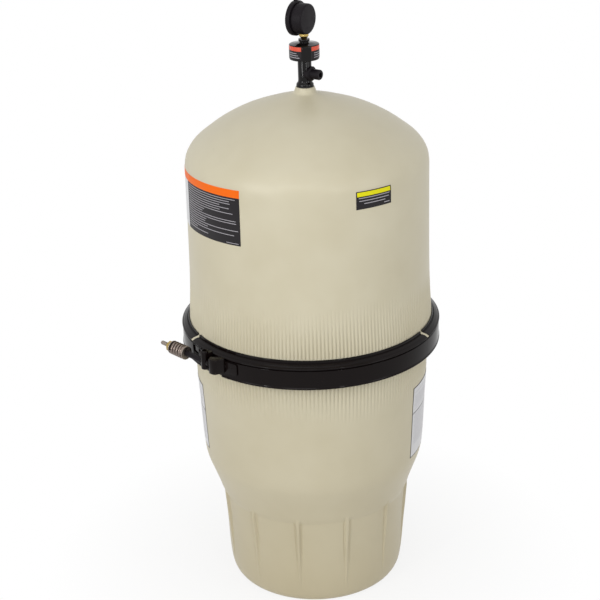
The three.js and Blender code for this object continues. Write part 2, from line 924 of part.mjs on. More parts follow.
piece("bolt_loop", blackCoat, boltLoop());
piece("t_bolt", plainSteel, tBolt());
piece("barrel_lug", blackCoat, barrelLug());
piece("bolt_sleeve", blackPlastic, alongBolt(
  tube(sleeveRadius, boltBore, sleeveStart, sleeveLength, tinySegments),
));
piece("inner_washer", plainSteel, alongBolt(tube(washerRadius, boltBore, innerWasherStart, washerThickness)));
piece("clamp_spring", plainSteel, helix());
piece("outer_washer", plainSteel, alongBolt(tube(washerRadius, boltBore, outerWasherStart, washerThickness)));
piece("clamp_nut", brass, alongBolt(hexTube(nutAcrossFlats, boltBore, nutStart, nutThickness)));

// Ports

const gasketFace = portPadFace + gap;
const portFlangeFace = gasketFace + portGasket + gap;
const portFlangeEnd = portFlangeFace + portFlangeThickness;
const portEnd = portFlangeEnd + portOuterReach;
const tailStart = portEnd + gap;
const unionStart = portFlangeEnd + gap * 2;
const portInnerEnd = portPadFace - portPadDepth - portInnerReach;

function bulkhead(height) {
  return facingBack(turned([
    [portBore, portInnerEnd],
    [portRadius, portInnerEnd],
    [portRadius, portFlangeFace],
    [portFlangeRadius, portFlangeFace],
    [portFlangeRadius, portFlangeEnd],
    [tailRadius, portFlangeEnd],
    [tailRadius, portEnd],
    [portBore, portEnd],
  ], smallSegments), height);
}

// Ribbed nut that draws the pipe tail against the bulkhead.
function unionNut(height) {
  const end = unionStart + unionLength;
  const wide = freeBore(tailRadius, gap);
  const narrow = freeBore(tailRadius - tailStep, 0);
  const ring = turned([
    [wide, unionStart],
    [unionRadius - unionGripRadius, unionStart],
    [unionRadius - unionGripRadius, end],
    [narrow, end],
    [narrow, end - unionLip],
    [wide, end - unionLip],
  ], smallSegments);
  const grips = [];
  for (let i = 0; i < unionGrips; i += 1) {
    const grip = rod(unionGripRadius, unionStart, unionLength - unionLip / 2, gripSides);
    const angle = i / unionGrips * 2 * Math.PI;
    const reach = unionRadius - unionGripRadius;
    grip.translate(reach * Math.cos(angle), reach * Math.sin(angle), 0);
    grips.push(grip);
  }
  return facingBack(join(ring, ...grips), height);
}

// Plain socket tail that a pipe is glued into.
function pipeTail(height) {
  const collarEnd = unionStart + unionLength - unionLip - gap;
  return facingBack(turned([
    [portBore, tailStart],
    [tailRadius - gap, tailStart],
    [tailRadius - gap, collarEnd],
    [tailRadius - tailStep - gap, collarEnd],
    [tailRadius - tailStep - gap, tailStart + tailLength],
    [tailSocketRadius, tailStart + tailLength],
    [tailSocketRadius, tailStart + tailCollar],
    [portBore, tailStart + tailCollar],
  ], smallSegments), height);
}

// Pipe inside the tank that turns from a port towards up or down.
function portElbow(height, rise, end) {
  const path = new THREE.CurvePath();
  const start = new THREE.Vector3(0, portInnerEnd + elbowSpigot, height);
  const bendStart = new THREE.Vector3(0, start.y - elbowRun, height);
  const corner = new THREE.Vector3(0, bendStart.y - elbowBend, height);
  const bendEnd = new THREE.Vector3(0, corner.y, height + rise * elbowBend);
  path.add(new THREE.LineCurve3(start, bendStart));
  path.add(new THREE.QuadraticBezierCurve3(bendStart, corner, bendEnd));
  path.add(new THREE.LineCurve3(bendEnd, new THREE.Vector3(0, bendEnd.y, end)));
  return piped(path, elbowRadius, elbowBore, bendSteps);
}

for (const [name, height] of [["outlet", outletHeight], ["inlet", inletHeight]]) {
  const gasket = tube(portFlangeRadius - gap, portRadius + gap, gasketFace, portGasket);
  const nutFace = portPadFace - portPadDepth - gap - innerNutThickness;
  const lockNut = tube(innerNutRadius, portRadius + gap, nutFace, innerNutThickness);
  piece(`${name}_bulkhead`, blackPlastic, bulkhead(height));
  piece(`${name}_gasket`, rubber, facingBack(gasket, height));
  piece(`${name}_lock_nut`, blackPlastic, facingBack(lockNut, height));
  piece(`${name}_union_nut`, blackPlastic, unionNut(height));
  piece(`${name}_pipe_tail`, blackPlastic, pipeTail(height));
}

piece("outlet_elbow", greyPlastic, portElbow(outletHeight, -1, manifoldTop + gap));
piece("inlet_diffuser", greyPlastic, portElbow(inletHeight, 1, inletHeight + 2 * elbowBend));

function drainPlug() {
  const face = drainPadFace + drainSeal + 2 * gap;
  const stem = rod(drainRadius, face - drainPlugDepth, drainPlugDepth + overrun);
  const head = rod(drainHeadRadius, face, drainDiscThickness);
  const grip = hexTube(drainGripAcrossFlats, drainGripBore, face + overrun, drainHeadLength - overrun);
  return facingBack(join(stem, head, grip), drainHeight);
}

piece("drain_plug", blackPlastic, drainPlug());
piece("drain_seal", rubber, facingBack(
  tube(drainHeadRadius, freeBore(drainRadius, gap), drainPadFace + gap, drainSeal),
  drainHeight,
));

// Elements

function pleats() {
  const shape = new THREE.Shape();
  const inner = elementRadius * (1 - pleatDepthShare);
  for (let i = 0; i < pleatCount; i += 1) {
    for (const [part, radius] of [[0, inner], [0.5, elementRadius - gap]]) {
      const angle = (i + part) / pleatCount * 2 * Math.PI;
      const step = i || part ? "lineTo" : "moveTo";
      shape[step](radius * Math.cos(angle), radius * Math.sin(angle));
    }
  }
  shape.closePath();
  const hole = new THREE.Path();
  hole.absarc(0, 0, freeBore(elementBore + coreWall, gap), 0, 2 * Math.PI);
  shape.holes.push(hole);
  const depth = elementLength - 2 * (endCapThickness + gap);
  return raised(shape, elementBottom + endCapThickness + gap, depth);
}

function elementCentre(index) {
  return spot(elementAzimuth + index * fullTurn / elementCount, elementOffset, 0);
}

for (let i = 0; i < elementCount; i += 1) {
  const centre = elementCentre(i);
  const number = i + 1;
  const coreBottom = elementBottom + endCapThickness + gap;
  const coreLength = elementLength - 2 * (endCapThickness + gap);
  const parts = [
    ["pleats", pleatCloth, pleats()],
    ["core", whitePlastic, tube(elementBore + coreWall, elementBore, coreBottom, coreLength)],
    ["bottom_cap", capPlastic, tube(elementRadius, endCapBore, elementBottom, endCapThickness)],
    ["top_cap", capPlastic, tube(elementRadius, endCapBore, elementTop - endCapThickness, endCapThickness)],
  ];
  for (const [name, look, geometry] of parts) {
    piece(`element_${number}_${name}`, look, geometry.translate(centre.x, centre.y, 0));
  }
}

// A plate with a spigot for each element.
function manifoldPlate(radius, bottom, thickness, spigotFrom, spigotTo) {
  const shapes = [rod(radius, bottom, thickness, smallSegments * 2)];
  const bores = [rod(bleedRadius + gap, bottom - overrun, thickness + 2 * overrun, tinySegments)];
  for (let i = 0; i < elementCount; i += 1) {
    const centre = elementCentre(i);
    shapes.push(rod(spigotRadius, spigotFrom, spigotTo - spigotFrom).translate(centre.x, centre.y, 0));
    const low = Math.min(spigotFrom, bottom + thickness / 2);
    const high = Math.max(spigotTo, bottom + thickness / 2);
    const start = spigotFrom < bottom ? low - overrun : low;
    const bore = rod(spigotRadius - spigotWall, start, high - low + overrun);
    bores.push(bore.translate(centre.x, centre.y, 0));
  }
  return cut(join(...shapes), ...bores);
}

piece("lower_manifold", greyPlastic, manifoldPlate(
  manifoldRadius,
  manifoldBottom,
  manifoldThickness,
  manifoldTop - overrun,
  elementBottom + spigotReach,
));
piece("upper_manifold", greyPlastic, manifoldPlate(
  topManifoldRadius,
  elementTop + gap,
  topManifoldThickness,
  elementTop - spigotReach,
  elementTop + overrun,
));
piece("air_bleed_tube", whitePlastic, tube(
  bleedRadius,
  bleedBore,
  manifoldBottom,
  bleedTop - manifoldBottom,
  tinySegments,
));
const strainerBottom = bleedTop - strainerSeatLength;
piece("air_strainer", whitePlastic, turned([
  [bleedRadius + gap, strainerBottom],
  [strainerRadius, strainerBottom],
  [strainerRadius, bleedTop + strainerShoulderLength],
  [strainerRadius * strainerCrownShare, strainerBottom + strainerLength],
  [bleedBore, strainerBottom + strainerLength],
  [bleedBore, bleedTop + gap],
  [bleedRadius + gap, bleedTop + gap],
], tinySegments));

// Relief valve

function outletRod(radius, from, length) {
  const shape = rod(radius, from, length, tinySegments);
  shape.rotateX(Math.PI / 2);
  shape.rotateZ(outletAzimuth * deg);
  shape.translate(0, 0, outletAxis);
  return shape;
}

function valveBody() {
  const socketBottom = valveNeckTop - stemSocketDepth;
  const body = turned([
    [valveBore, bossTop - valveStubLength],
    [valveStubRadius, bossTop - valveStubLength],
    [valveStubRadius, valveFoot],
    [valveFlangeRadius, valveFoot],
    [valveFlangeRadius, valveFoot + valveFlangeThickness],
    [valveBodyRadius, valveFoot + valveFlangeThickness],
    [valveBodyRadius, valveBodyTop],
    [valveColumnRadius, valveBodyTop],
    [valveColumnRadius, valveNeckBottom],
    [valveNeckRadius, valveNeckBottom],
    [valveNeckRadius, valveNeckTop],
    [stemSocketRadius, valveNeckTop],
    [stemSocketRadius, socketBottom],
    [valveBore, socketBottom],
  ], smallSegments);
  const arm = outletRod(outletTubeRadius, valveBore + overrun, outletReach - valveBore - overrun);
  const collar = outletRod(outletCollarRadius, outletCollarStart, outletCollarLength);
  return cut(join(body, arm, collar), outletRod(outletBore, 0, outletReach + overrun));
}

function knob() {
  const ring = turned([
    [valveColumnRadius + runningGap, knobBottom],
    [knobRadius - overrun, knobBottom],
    [knobRadius, knobBottom + overrun],
    [knobRadius, knobShoulder - knobRound / 2],
    [knobRadius - knobRound / 2, knobShoulder],
    [valveNeckRadius + knobRound, knobTop],
    [valveColumnRadius + runningGap, knobTop],
  ], gaugeSegments);
  const columnMiddle = (knobBottom + knobShoulder) / 2;
  const columnFace = knobRadius + knobColumnProud;
  const column = block(
    knobColumnWidth,
    knobColumnDepth,
    knobSkirtHeight - knobRound,
    0,
    knobColumnDepth / 2 - columnFace,
    columnMiddle,
  );
  return join(ring, column);
}

piece("valve_seal", rubber, tube(valveFlangeRadius, valveSealBore, bossTop + gap, valveSeal));
piece("valve_body", blackPlastic, valveBody());
piece("relief_knob", blackPlastic, knob());

// Gauge

function gaugeStem() {
  const lower = valveNeckTop - stemSocketDepth + gap;
  const caseBottom = gaugeAxisHeight - gaugeCaseRadius;
  const thread = rod(stemThreadRadius, lower, hexBottom - lower + overrun);
  const cone = turned([
    [0, stemConeBottom],
    [stemConeRadius, stemConeBottom],
    [stemHexAcrossFlats / 2, hexBottom + overrun / 2],
    [0, hexBottom + overrun / 2],
  ], smallSegments);
  const hex = hexTube(stemHexAcrossFlats, stemBore, hexBottom, stemHexHeight);
  const neck = rod(stemNeckRadius, hexTop - overrun, caseBottom + gaugeCaseWall - hexTop + overrun * 2);
  const bore = rod(stemBore, lower - overrun, caseBottom + 4 * overrun - lower, tinySegments);
  return cut(join(thread, cone, hex, neck), bore);
}

function onGauge(geometry) {
  return geometry.applyMatrix4(gaugeFrame);
}

function gaugeCase() {
  const cup = onGauge(turned([
    [0, gaugeBack],
    [gaugeCaseRadius - gaugeCaseWall, gaugeBack],
    [gaugeCaseRadius, gaugeBack + gaugeCaseWall],
    [gaugeCaseRadius, gaugeCaseFront],
    [gaugeCaseRadius - gaugeCaseWall, gaugeCaseFront],
    [gaugeCaseRadius - gaugeCaseWall, gaugeBack + gaugeCaseWall],
    [0, gaugeBack + gaugeCaseWall],
  ], gaugeSegments));
  const lowest = gaugeAxisHeight - gaugeCaseRadius;
  return cut(cup, rod(stemNeckRadius + gap, lowest - overrun, gaugeCaseWall + 3 * overrun));
}

function bezel() {
  const end = bezelStart + bezelDepth;
  const ring = turned([
    [gaugeCaseRadius + gap, bezelStart],
    [bezelRadius, bezelStart],
    [bezelRadius, end - bezelEdge],
    [bezelRadius - bezelEdge, end],
    [bezelWindow, end],
    [bezelWindow, end - bezelLip],
    [gaugeCaseRadius + gap, end - bezelLip],
  ], gaugeSegments);
  const tabMiddle = bezelRadius + tabHeight * tabSeatShare;
  const tab = block(tabWidth, tabHeight, tabDepth, 0, tabMiddle, bezelStart + bezelDepth / 2);
  return onGauge(join(ring, tab));
}

function pointer() {
  const plane = dialFace + dialThickness + gap;
  const needle = block(
    pointerWidth,
    pointerLength + pointerTail,
    pointerThickness,
    0,
    (pointerLength - pointerTail) / 2,
    plane + pointerThickness / 2,
  );
  const hub = rod(pointerHubRadius, plane, pointerThickness * 2, tinySegments);
  const pinFoot = dialFace + gap - overrun;
  const pin = rod(pointerPinRadius, pinFoot, dialThickness + 2 * overrun, tinySegments);
  return onGauge(join(needle, hub, pin).rotateZ(pointerRest * deg));
}

// The dial is carried by a rim that reaches the case wall.
function dial() {
  return onGauge(tube(dialRadius, pointerPinRadius + gap, dialFace, dialThickness));
}

piece("gauge_stem", brass, gaugeStem());
piece("gauge_case", blackPlastic, gaugeCase());
piece("gauge_ring", blackPlastic, bezel());
piece("gauge_dial", dialPaint, dial());
piece("gauge_pointer", pointerPaint, pointer());
piece("gauge_lens", clearPlastic, onGauge(
  rod(lensRadius, bezelStart + bezelDepth - bezelLip - gap - lensThickness, lensThickness),
));

export default filter;
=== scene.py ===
import math

import bpy
from mathutils import Matrix, Vector


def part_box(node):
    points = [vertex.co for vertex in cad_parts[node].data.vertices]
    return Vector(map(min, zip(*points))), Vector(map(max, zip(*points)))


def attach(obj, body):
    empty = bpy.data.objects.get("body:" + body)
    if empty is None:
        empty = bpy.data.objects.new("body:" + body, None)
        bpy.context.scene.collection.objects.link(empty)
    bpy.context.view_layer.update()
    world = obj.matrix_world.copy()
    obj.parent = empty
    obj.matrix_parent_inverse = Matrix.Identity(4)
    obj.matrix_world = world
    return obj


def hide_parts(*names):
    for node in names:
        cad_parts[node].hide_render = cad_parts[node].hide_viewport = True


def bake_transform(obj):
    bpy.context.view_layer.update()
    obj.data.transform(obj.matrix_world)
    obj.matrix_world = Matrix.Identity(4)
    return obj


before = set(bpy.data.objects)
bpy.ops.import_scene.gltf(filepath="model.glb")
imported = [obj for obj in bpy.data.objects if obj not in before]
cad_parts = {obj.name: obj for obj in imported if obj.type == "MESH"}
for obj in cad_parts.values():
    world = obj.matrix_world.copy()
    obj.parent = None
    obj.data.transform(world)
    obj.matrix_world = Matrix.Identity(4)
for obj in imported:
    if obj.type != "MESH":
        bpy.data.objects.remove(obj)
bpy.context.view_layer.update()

MM = 0.001
UP = Vector((0, 0, 1))
SAME_POINT = 0.00001  # metres
SMOOTH_UNDER = 40  # degrees between two faces

# Lengths are millimetres unless a comment says otherwise. z is the height above the floor and r the
# distance from the tank's axis. Azimuths are degrees, 0 at the front and growing to the right.

# Tank
SPLIT_Z = 573
SEAL_GAP = 0.3
SHELL_WALL = 6.5
FOOT_WALL = 6
FLANGE_R = 266
DOME_Z = 940
UPPER_FLUTES = 208
LOWER_FLUTES = 192
COLUMNS_PER_FLUTE = 6
FLUTE_DEPTH = 4.4
FLUTE_ROUNDNESS = 0.6
UPPER_FLUTES_FADE = (600, 722)
LOWER_FLUTES_FADE = (558, 446)
UPPER_FLUTES_Z = (604, 724)
LOWER_FLUTES_Z = (444, 552)
FOOT_RIBS = 12
FOOT_RIB_AZ = 19.2
FOOT_RIB_WIDTH = (6, 12)
FOOT_RIB_PROUD = 4.6
FOOT_RIB_Z = (30, 198)
FOOT_TOP_Z = 207
SHELL_ROW_STEP = 13
FOOT_ROW_STEP = 9

# [height, radius] down the outside, from the photograph's solved outline
UPPER_OUTLINE = [
    (606, 255.6), (625, 254.8), (650, 253.2), (675, 252.1), (700, 251.3), (750, 250.6), (800, 250.2),
    (860, 250.0), (900, 249.8), (925, 249.9), (940, 249.6), (955, 247.1), (968, 241.0), (980, 232.0),
    (990, 221.0), (1000, 207.9), (1010, 194.8), (1020, 179.8), (1030, 162.6), (1040, 143.0),
    (1048, 124.0), (1055, 104.0), (1063, 80.5), (1070, 57.1), (1076, 37.0), (1079, 28.0),
]
BOSS_OUTLINE = [(1080.5, 24.6), (1083, 22.6), (1087, 21.2), (1091.6, 19.7), (1092.6, 19.2), (1093, 18.3)]
BOSS_BORE = [(1093, 10.4), (1066, 10.4)]
BOWL_OUTLINE = [
    (207, 204.0), (213, 206.2), (220, 208.6), (230, 211.7), (240, 215.2), (250, 218.9), (260, 222.6),
    (270, 226.4), (280, 230.0), (290, 233.1), (300, 235.2), (310, 236.4), (320, 237.1), (340, 238.2),
    (370, 239.8), (400, 241.2), (425, 242.1), (450, 243.8), (475, 245.3), (500, 246.2),
    (548, 246.9),
]
FOOT_OUTLINE = [
    (0, 174), (1.4, 177.8), (4.2, 181.1), (8.5, 184.0), (14, 186.3), (25, 188.7), (40, 190.5),
    (60, 192.0), (85, 193.2), (110, 194.2), (135, 195.6), (160, 197.4), (180, 199.1), (193, 200.2),
    (199, 200.9), (203, 202.0),
]
DISH_BELOW = [(145.5, 0), (149, 60), (157.5, 122), (170, 160), (181, 182)]
DISH_ABOVE = [(208, 184), (195.2, 170), (164, 122), (155, 60), (152, 0)]

# Clamp
LEFT_GAP_AZ = -63.8
RIGHT_GAP_AZ = 61.2
BACK_GAP_AZ = 179
RETAINER_GAP = 8.6
GAP_WAVE = 2.6
WAVE_REACH = 7  # degrees
WAVE_R = (258, 269)
STRAP_LEFT_END = -47
STRAP_FRONT_END = -42
STRAP_SEAM = 0.03  # degrees
STRAP_IN_R = 269.9
STRAP_OUT_R = 271.6
STRAP_LIP_R = 272.75
STRAP_LIP_HIGH = (2.6, 4)
STRAP_Z = (549.2, 588.2)
SLOT_AZ = -60
SLOT_Z = 579.5
PLATE_OUT_R = 274.6
PLATE_Z = (562, 587)
WELD_AZ = (-39.6, -36.1)
WELD_Z = 577

# Bolt; lengths along it are measured from the clamp's azimuth BOLT_AZ
BOLT_AZ = -46
BOLT_AXIS_R = 289
BOLT_Z = 580
CROSS_HEAD_AT = -15
BARREL_AT = 10
BOLT_R = 4.1
BOLT_HOLE_R = 4.65
THREAD = (84, 143.5)
THREAD_PITCH = 1.6
SLEEVE = (18.3, 66.8)
WASHER_R = 14
WASHER_THICK = 2.3
NUT = (111, 120.4)
NUT_ACROSS = 20

# Spring
SPRING_FROM = 69.7
SPRING_LENGTH = 38
SPRING_TURNS = 5
SPRING_WIRE_R = 2.8
SPRING_COIL_R = 11.5
SPRING_FLAT_TURN = 0.35
SPRING_PLAY = 0.3

# Labels; FILM is how far the underside and the top stand off the shell
FILM = (0.15, 0.4)
INK_LIFT = 0.12
LABEL_ROW = 9
LINE_PITCH = 4.9
BIG_LABEL_LEFT = -112
SIDE_PANEL_EDGE = -73.4
BIG_LABEL_EDGE = -31.9
BIG_LABEL_TILT = 0.16
BIG_LABEL_Z = (832.6, 930.6)
BIG_STRIPE_TOP = 946.4
BIG_LINES_FROM = (-71.8, 925.5)
BIG_LABEL_LINE_ENDS = (
    -34.2, -37.6, -37.2, -43.5, -37.8, -43.5, -35.8, -55, -56.5, -34.3, -34, -53.5, -54.5, -33, -52.5,
    -35.3, -62, -52.5,
)
SMALL_LABEL_AZ = (21.6, 40)
SMALL_LABEL_Z = (908.8, 944.8)
SMALL_STRIPE_AZ = (22.1, 39.5)
SMALL_STRIPE_Z = (934.6, 943)
SMALL_LABEL_LINES = ((22.8, 39), (23, 38.6), (25.5, 36.6), (36, 39))
SMALL_LINES_TOP = 930.6
SMALL_LINE_PITCH = 5.8
BOWL_LABELS = (("right", 59, 84, 308), ("left", -95, -70, 322))
BOWL_LABEL_TOP = 474
BOWL_LABEL_BORDER = 0.45  # degrees
BOWL_DIVIDER_Z = 412
BOWL_LINES_TOP = 460
BOWL_LINES = 26
BOWL_BLANK_LINES = (1, 9, 10)

# Valve and gauge
VALVE_FOOT_Z = 1095.8
KNOB_Z = (1150.3, 1180.8)
KNOB_R = 30.3
KNOB_RIB_AZ = 8
KNOB_GRIPS_AZ = (98, 188, 278)
KNOB_FILM = (30.32, 30.5, 30.6)  # radii of its underside, its top and its print
KNOB_STRIPE_FROM = 21
KNOB_LABELS = (("left", -82, -12), ("right", 28, 90))
SPOUT_AZ = 55
SPOUT_Z = 1121
GAUGE_Z = 1231
GAUGE_AZ = -122
DIAL_START = 225
DIAL_SWEEP = 270
DIAL_TICKS = 30
TICKS_PER_NUMBER = 5
TICK_R = 24.3
LONG_TICK_R = 23.4
NUMBER_R = 17.6
NUMBER_HIGH = 4.6
DIAL_PRINT_AT = 9.8
NEEDLE_TURN = 135

# Ports
PORT_HEIGHTS = {"outlet": 320, "inlet": 500}
PORT_BORE_R = 30.4
PAD_FACE_Y = 247
UNION_GRIPS = 12
DRAIN_Z = 238
DRAIN_BORE_R = 14

# Elements: [share of one fold, radius]
PLEATS = 90
PLEAT_FOLD = ((0, 56.5), (0.12, 57.2), (0.42, 86.6), (0.5, 87.4), (0.58, 86.6), (0.88, 57.2))

# Camera, solved from the photograph, angles in degrees
CAMERA_BACK = 2961.5
CAMERA_UP = 1890.5
CAMERA_PITCH = 20.526
CAMERA_ROLL = -1.516
CAMERA_YAW = -0.348
FOCAL_PIXELS = 1518.0
PHOTO_PIXELS = 600
AXIS_PIXEL_Y = 231.37
FILM_WIDTH = 36

# Lamps and floor, in metres and watts. Each lamp: name, place, target, size, power
LAMPS = (
    ("overhead_softbox", (-0.2, -0.7, 3.4), (0, 0, 0.9), (2.2, 1.4), 9),
    ("front_softbox", (-0.7, -3.4, 3.0), (0, 0, 0.7), (1.8, 1.4), 23),
    ("left_softbox", (-3.0, -2.2, 2.1), (0, 0, 0.8), (1.0, 2.0), 18),
    ("right_softbox", (3.0, -1.8, 1.8), (0, 0, 0.8), (1.0, 1.8), 16),
    ("left_strip", (-2.1, -2.6, 1.6), (0, 0, 0.9), (0.1, 1.6), 21),
    ("right_strip", (1.25, -2.7, 1.7), (0, 0, 1.1), (0.07, 1.0), 8),
)
ROOM_LIGHT = 0.46
WHITE = (1, 1, 1, 1)
FLOOR_SIZE = 40
FLOOR_BELOW = 0.0004
FLOOR_WHITE_FROM = 0.6


# Places

def spot(az, r, z):
    a = math.radians(az)
    return Vector((r * math.sin(a), -r * math.cos(a), z))


def shift(x, y, z):
    return Matrix.Translation(Vector((x, y, z)) * MM)


def turn_z(degrees):
    return Matrix.Rotation(math.radians(degrees), 4, "Z")


def placed(x, y, z, origin):
    """Turns X, Y and Z to the given directions, and moves the piece to the origin."""
    return Matrix.Translation(origin * MM) @ Matrix((x, y, z)).transposed().to_4x4()


def along_bolt():
    """Shapes made about Z lie along the bolt, from its foot outwards."""
    out = spot(BOLT_AZ - 90, 1, 0)
    return placed(out.cross(UP) * -1, UP, out, spot(BOLT_AZ, BOLT_AXIS_R, BOLT_Z))


def across_bolt():
    """X lies along the bolt, Y away from the tank and Z up."""
    return placed(spot(BOLT_AZ - 90, 1, 0), spot(BOLT_AZ, 1, 0), UP, spot(BOLT_AZ, BOLT_AXIS_R, BOLT_Z))


def facing(az, z):
    """Shapes made about Z point outwards from the tank's axis."""
    out = spot(az, 1, 0)
    return placed(UP.cross(out), UP, out, Vector((0, 0, z)))


def facing_back(z):
    return facing(180, z)


GAUGE_FRAME = facing(GAUGE_AZ, GAUGE_Z)
SPOUT_FRAME = facing(SPOUT_AZ, SPOUT_Z)


# Modelling

def pick_none():
    if bpy.context.mode != "OBJECT":
        bpy.ops.object.mode_set(mode="OBJECT")
    bpy.ops.object.select_all(action="DESELECT")


def pick(*pieces):
    pick_none()
    for piece in pieces:
        piece.select_set(True)
    bpy.context.view_layer.objects.active = pieces[0]


def called(piece, name):
    piece.name = piece.data.name = name
    return piece


def close_up(merge=True, fill=True):
    """Merges doubled points, fills open ends and turns the faces outwards."""
    bpy.ops.object.mode_set(mode="EDIT")
    bpy.ops.mesh.select_all(action="SELECT")
    if merge:
        bpy.ops.mesh.remove_doubles(threshold=SAME_POINT)
    if fill:
        bpy.ops.mesh.fill_holes(sides=0)
        bpy.ops.mesh.select_all(action="SELECT")
    bpy.ops.mesh.normals_make_consistent(inside=False)
    bpy.ops.object.mode_set(mode="OBJECT")


def settle(piece, matrix=None, smooth=SMOOTH_UNDER):
    """Moves a piece to its place and shades its gentle edges smooth."""
    if matrix:
        piece.data.transform(matrix)
    pick(piece)
    bpy.ops.object.shade_smooth_by_angle(angle=math.radians(smooth))
    return piece


def line(name, points):
    """A new mesh of one open line through [across, up] points."""
    pick_none()
    bpy.ops.mesh.primitive_plane_add(size=MM, location=(0, 0, 0))
    piece = called(bpy.context.object, name)
    bpy.ops.object.mode_set(mode="EDIT")
    bpy.ops.mesh.select_all(action="SELECT")
    bpy.ops.mesh.merge(type="CENTER")
    bpy.ops.transform.translate(value=Vector((points[0][0], 0, points[0][1])) * MM)
    for (x0, z0), (x1, z1) in zip(points, points[1:]):
        step = Vector((x1 - x0, 0, z1 - z0)) * MM
        bpy.ops.mesh.extrude_region_move(TRANSFORM_OT_translate={"value": step})
    bpy.ops.mesh.select_all(action="SELECT")
    return piece


def turned(name, points, steps=64, matrix=None, smooth=SMOOTH_UNDER):
    """A round piece: an outline of [radius, height] points turned about Z.

    The outline is closed first, unless both its ends lie on the axis.
    """
    if points[0][0] > 0 or points[-1][0] > 0:
        points = points + [points[0]]
    piece = line(name, points)
    bpy.ops.object.mode_set(mode="OBJECT")
    turn = piece.modifiers.new("turn", "SCREW")
    turn.steps = turn.render_steps = steps
    turn.use_merge_vertices = True
    turn.merge_threshold = SAME_POINT
    apply(piece, turn)
    close_up(fill=False)
    return settle(piece, matrix, smooth)


def swept(name, points, az_from, az_to, steps, smooth=SMOOTH_UNDER):
    """A closed outline swept part of the way round the tank, with closed ends."""
    piece = line(name, points + [points[0]])
    bpy.ops.mesh.spin(steps=steps, angle=math.radians(az_from - az_to), center=(0, 0, 0), axis=(0, 0, 1))
    close_up()
    return settle(piece, turn_z(az_from - 90), smooth)


def box(name, size, centre, matrix=None, bevel=0.0):
    """A block with rounded edges."""
    pick_none()
    bpy.ops.mesh.primitive_cube_add(size=1, location=(0, 0, 0))
    piece = called(bpy.context.object, name)
    scale = Matrix.Diagonal((size[0] * MM, size[1] * MM, size[2] * MM, 1))
    piece.data.transform(shift(*centre) @ scale)
    if bevel:
        bevelled(piece, bevel)
    return settle(piece, matrix)


def prism(name, corners, low, high, matrix=None, bevel=0.0, segments=2):
    """An outline of [x, y] corners raised from one height to another."""
    pick_none()
    bpy.ops.mesh.primitive_circle_add(vertices=len(corners), radius=MM, fill_type="NGON",
                                      location=(0, 0, 0))
    piece = called(bpy.context.object, name)
    for vertex, (x, y) in zip(piece.data.vertices, corners):
        vertex.co = Vector((x, y, low)) * MM
    bpy.ops.object.mode_set(mode="EDIT")
    bpy.ops.mesh.select_all(action="SELECT")
    bpy.ops.mesh.extrude_region_move(TRANSFORM_OT_translate={"value": (0, 0, (high - low) * MM)})
    close_up(merge=False, fill=False)
    if bevel:
        bevelled(piece, bevel, segments)
    return settle(piece, matrix)


def bevelled(piece, width, segments=3, angle=35):
    modifier = piece.modifiers.new("edge", "BEVEL")
    modifier.width = width * MM
    modifier.segments = segments
    modifier.limit_method = "ANGLE"
    modifier.angle_limit = math.radians(angle)
    apply(piece, modifier)


def apply(piece, modifier):
    pick(piece)
    bpy.ops.object.modifier_apply(modifier=modifier.name)


def carved(piece, tool, operation):
    modifier = piece.modifiers.new("carve", "BOOLEAN")
    modifier.operation = operation
    modifier.solver = "MANIFOLD"
    modifier.object = tool
    apply(piece, modifier)
    bpy.data.objects.remove(tool)


def cut(piece, *tools):
    for tool in tools:
        carved(piece, tool, "DIFFERENCE")


def drill(radius, start, end, steps, matrix=None):
    return turned("drill", [(0, start), (radius, start), (radius, end), (0, end)], steps, matrix)


def joined(name, pieces):
    pick(*pieces)
    bpy.ops.object.join()
    return called(pieces[0], name)


def round_corners(points, radius, steps=3):
    """The same closed outline with each corner replaced by a small arc."""
    rounded = []
    count = len(points)
    for i, point in enumerate(points):
        here = Vector(point)
        before = Vector(points[i - 1]) - here
        after = Vector(points[(i + 1) % count]) - here
        reach = min(radius, before.length * 0.45, after.length * 0.45)
        start = here + before.normalized() * reach
        end = here + after.normalized() * reach
        for k in range(steps + 1):
            t = k / steps
            curve = start * (1 - t) ** 2 + here * 2 * t * (1 - t) + end * t * t
            rounded.append((curve.x, curve.y))
    return rounded


def band(inner, outer, low, high, edge):
    """The outline of a ring with rounded edges."""
    return round_corners([(inner, low), (outer, low), (outer, high), (inner, high)], edge)


def rounded_slab(width, depth, radius):
    x, y = width / 2, depth / 2
    return round_corners([(-x, -y), (x, -y), (x, y), (-x, y)], radius, 5)


def hexagon(across):
    corner = across / math.sqrt(3)
    angles = [(i + 0.5) * math.pi / 3 for i in range(6)]
    return [(corner * math.cos(a), corner * math.sin(a)) for a in angles]


def finish(piece, body, surface, slot, *replaced):
    piece.data.materials.clear()
    piece.data.materials.append(surface)
    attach(piece, body)
    if replaced:
        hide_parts(*replaced)


# Materials

def linear(hex_colour):
    values = [int(hex_colour[i:i + 2], 16) / 255 for i in (1, 3, 5)]
    return tuple(v / 12.92 if v <= 0.04045 else ((v + 0.055) / 1.055) ** 2.4 for v in values) + (1,)


def add(tree, kind, inputs=None, **settings):
    node = tree.nodes.new(kind)
    for name, value in settings.items():
        setattr(node, name, value)
    for name, value in (inputs or {}).items():
        if isinstance(value, bpy.types.NodeSocket):
            tree.links.new(value, node.inputs[name])
        else:
            node.inputs[name].default_value = value
    return node


def new_surface(name):
    surface = bpy.data.materials.new(name)
    surface.use_nodes = True
    tree = surface.node_tree
    place = add(tree, "ShaderNodeTexCoord").outputs["Object"]
    return surface, tree, tree.nodes["Principled BSDF"], place


def per_mm(size):
    return 1 / (size * MM)


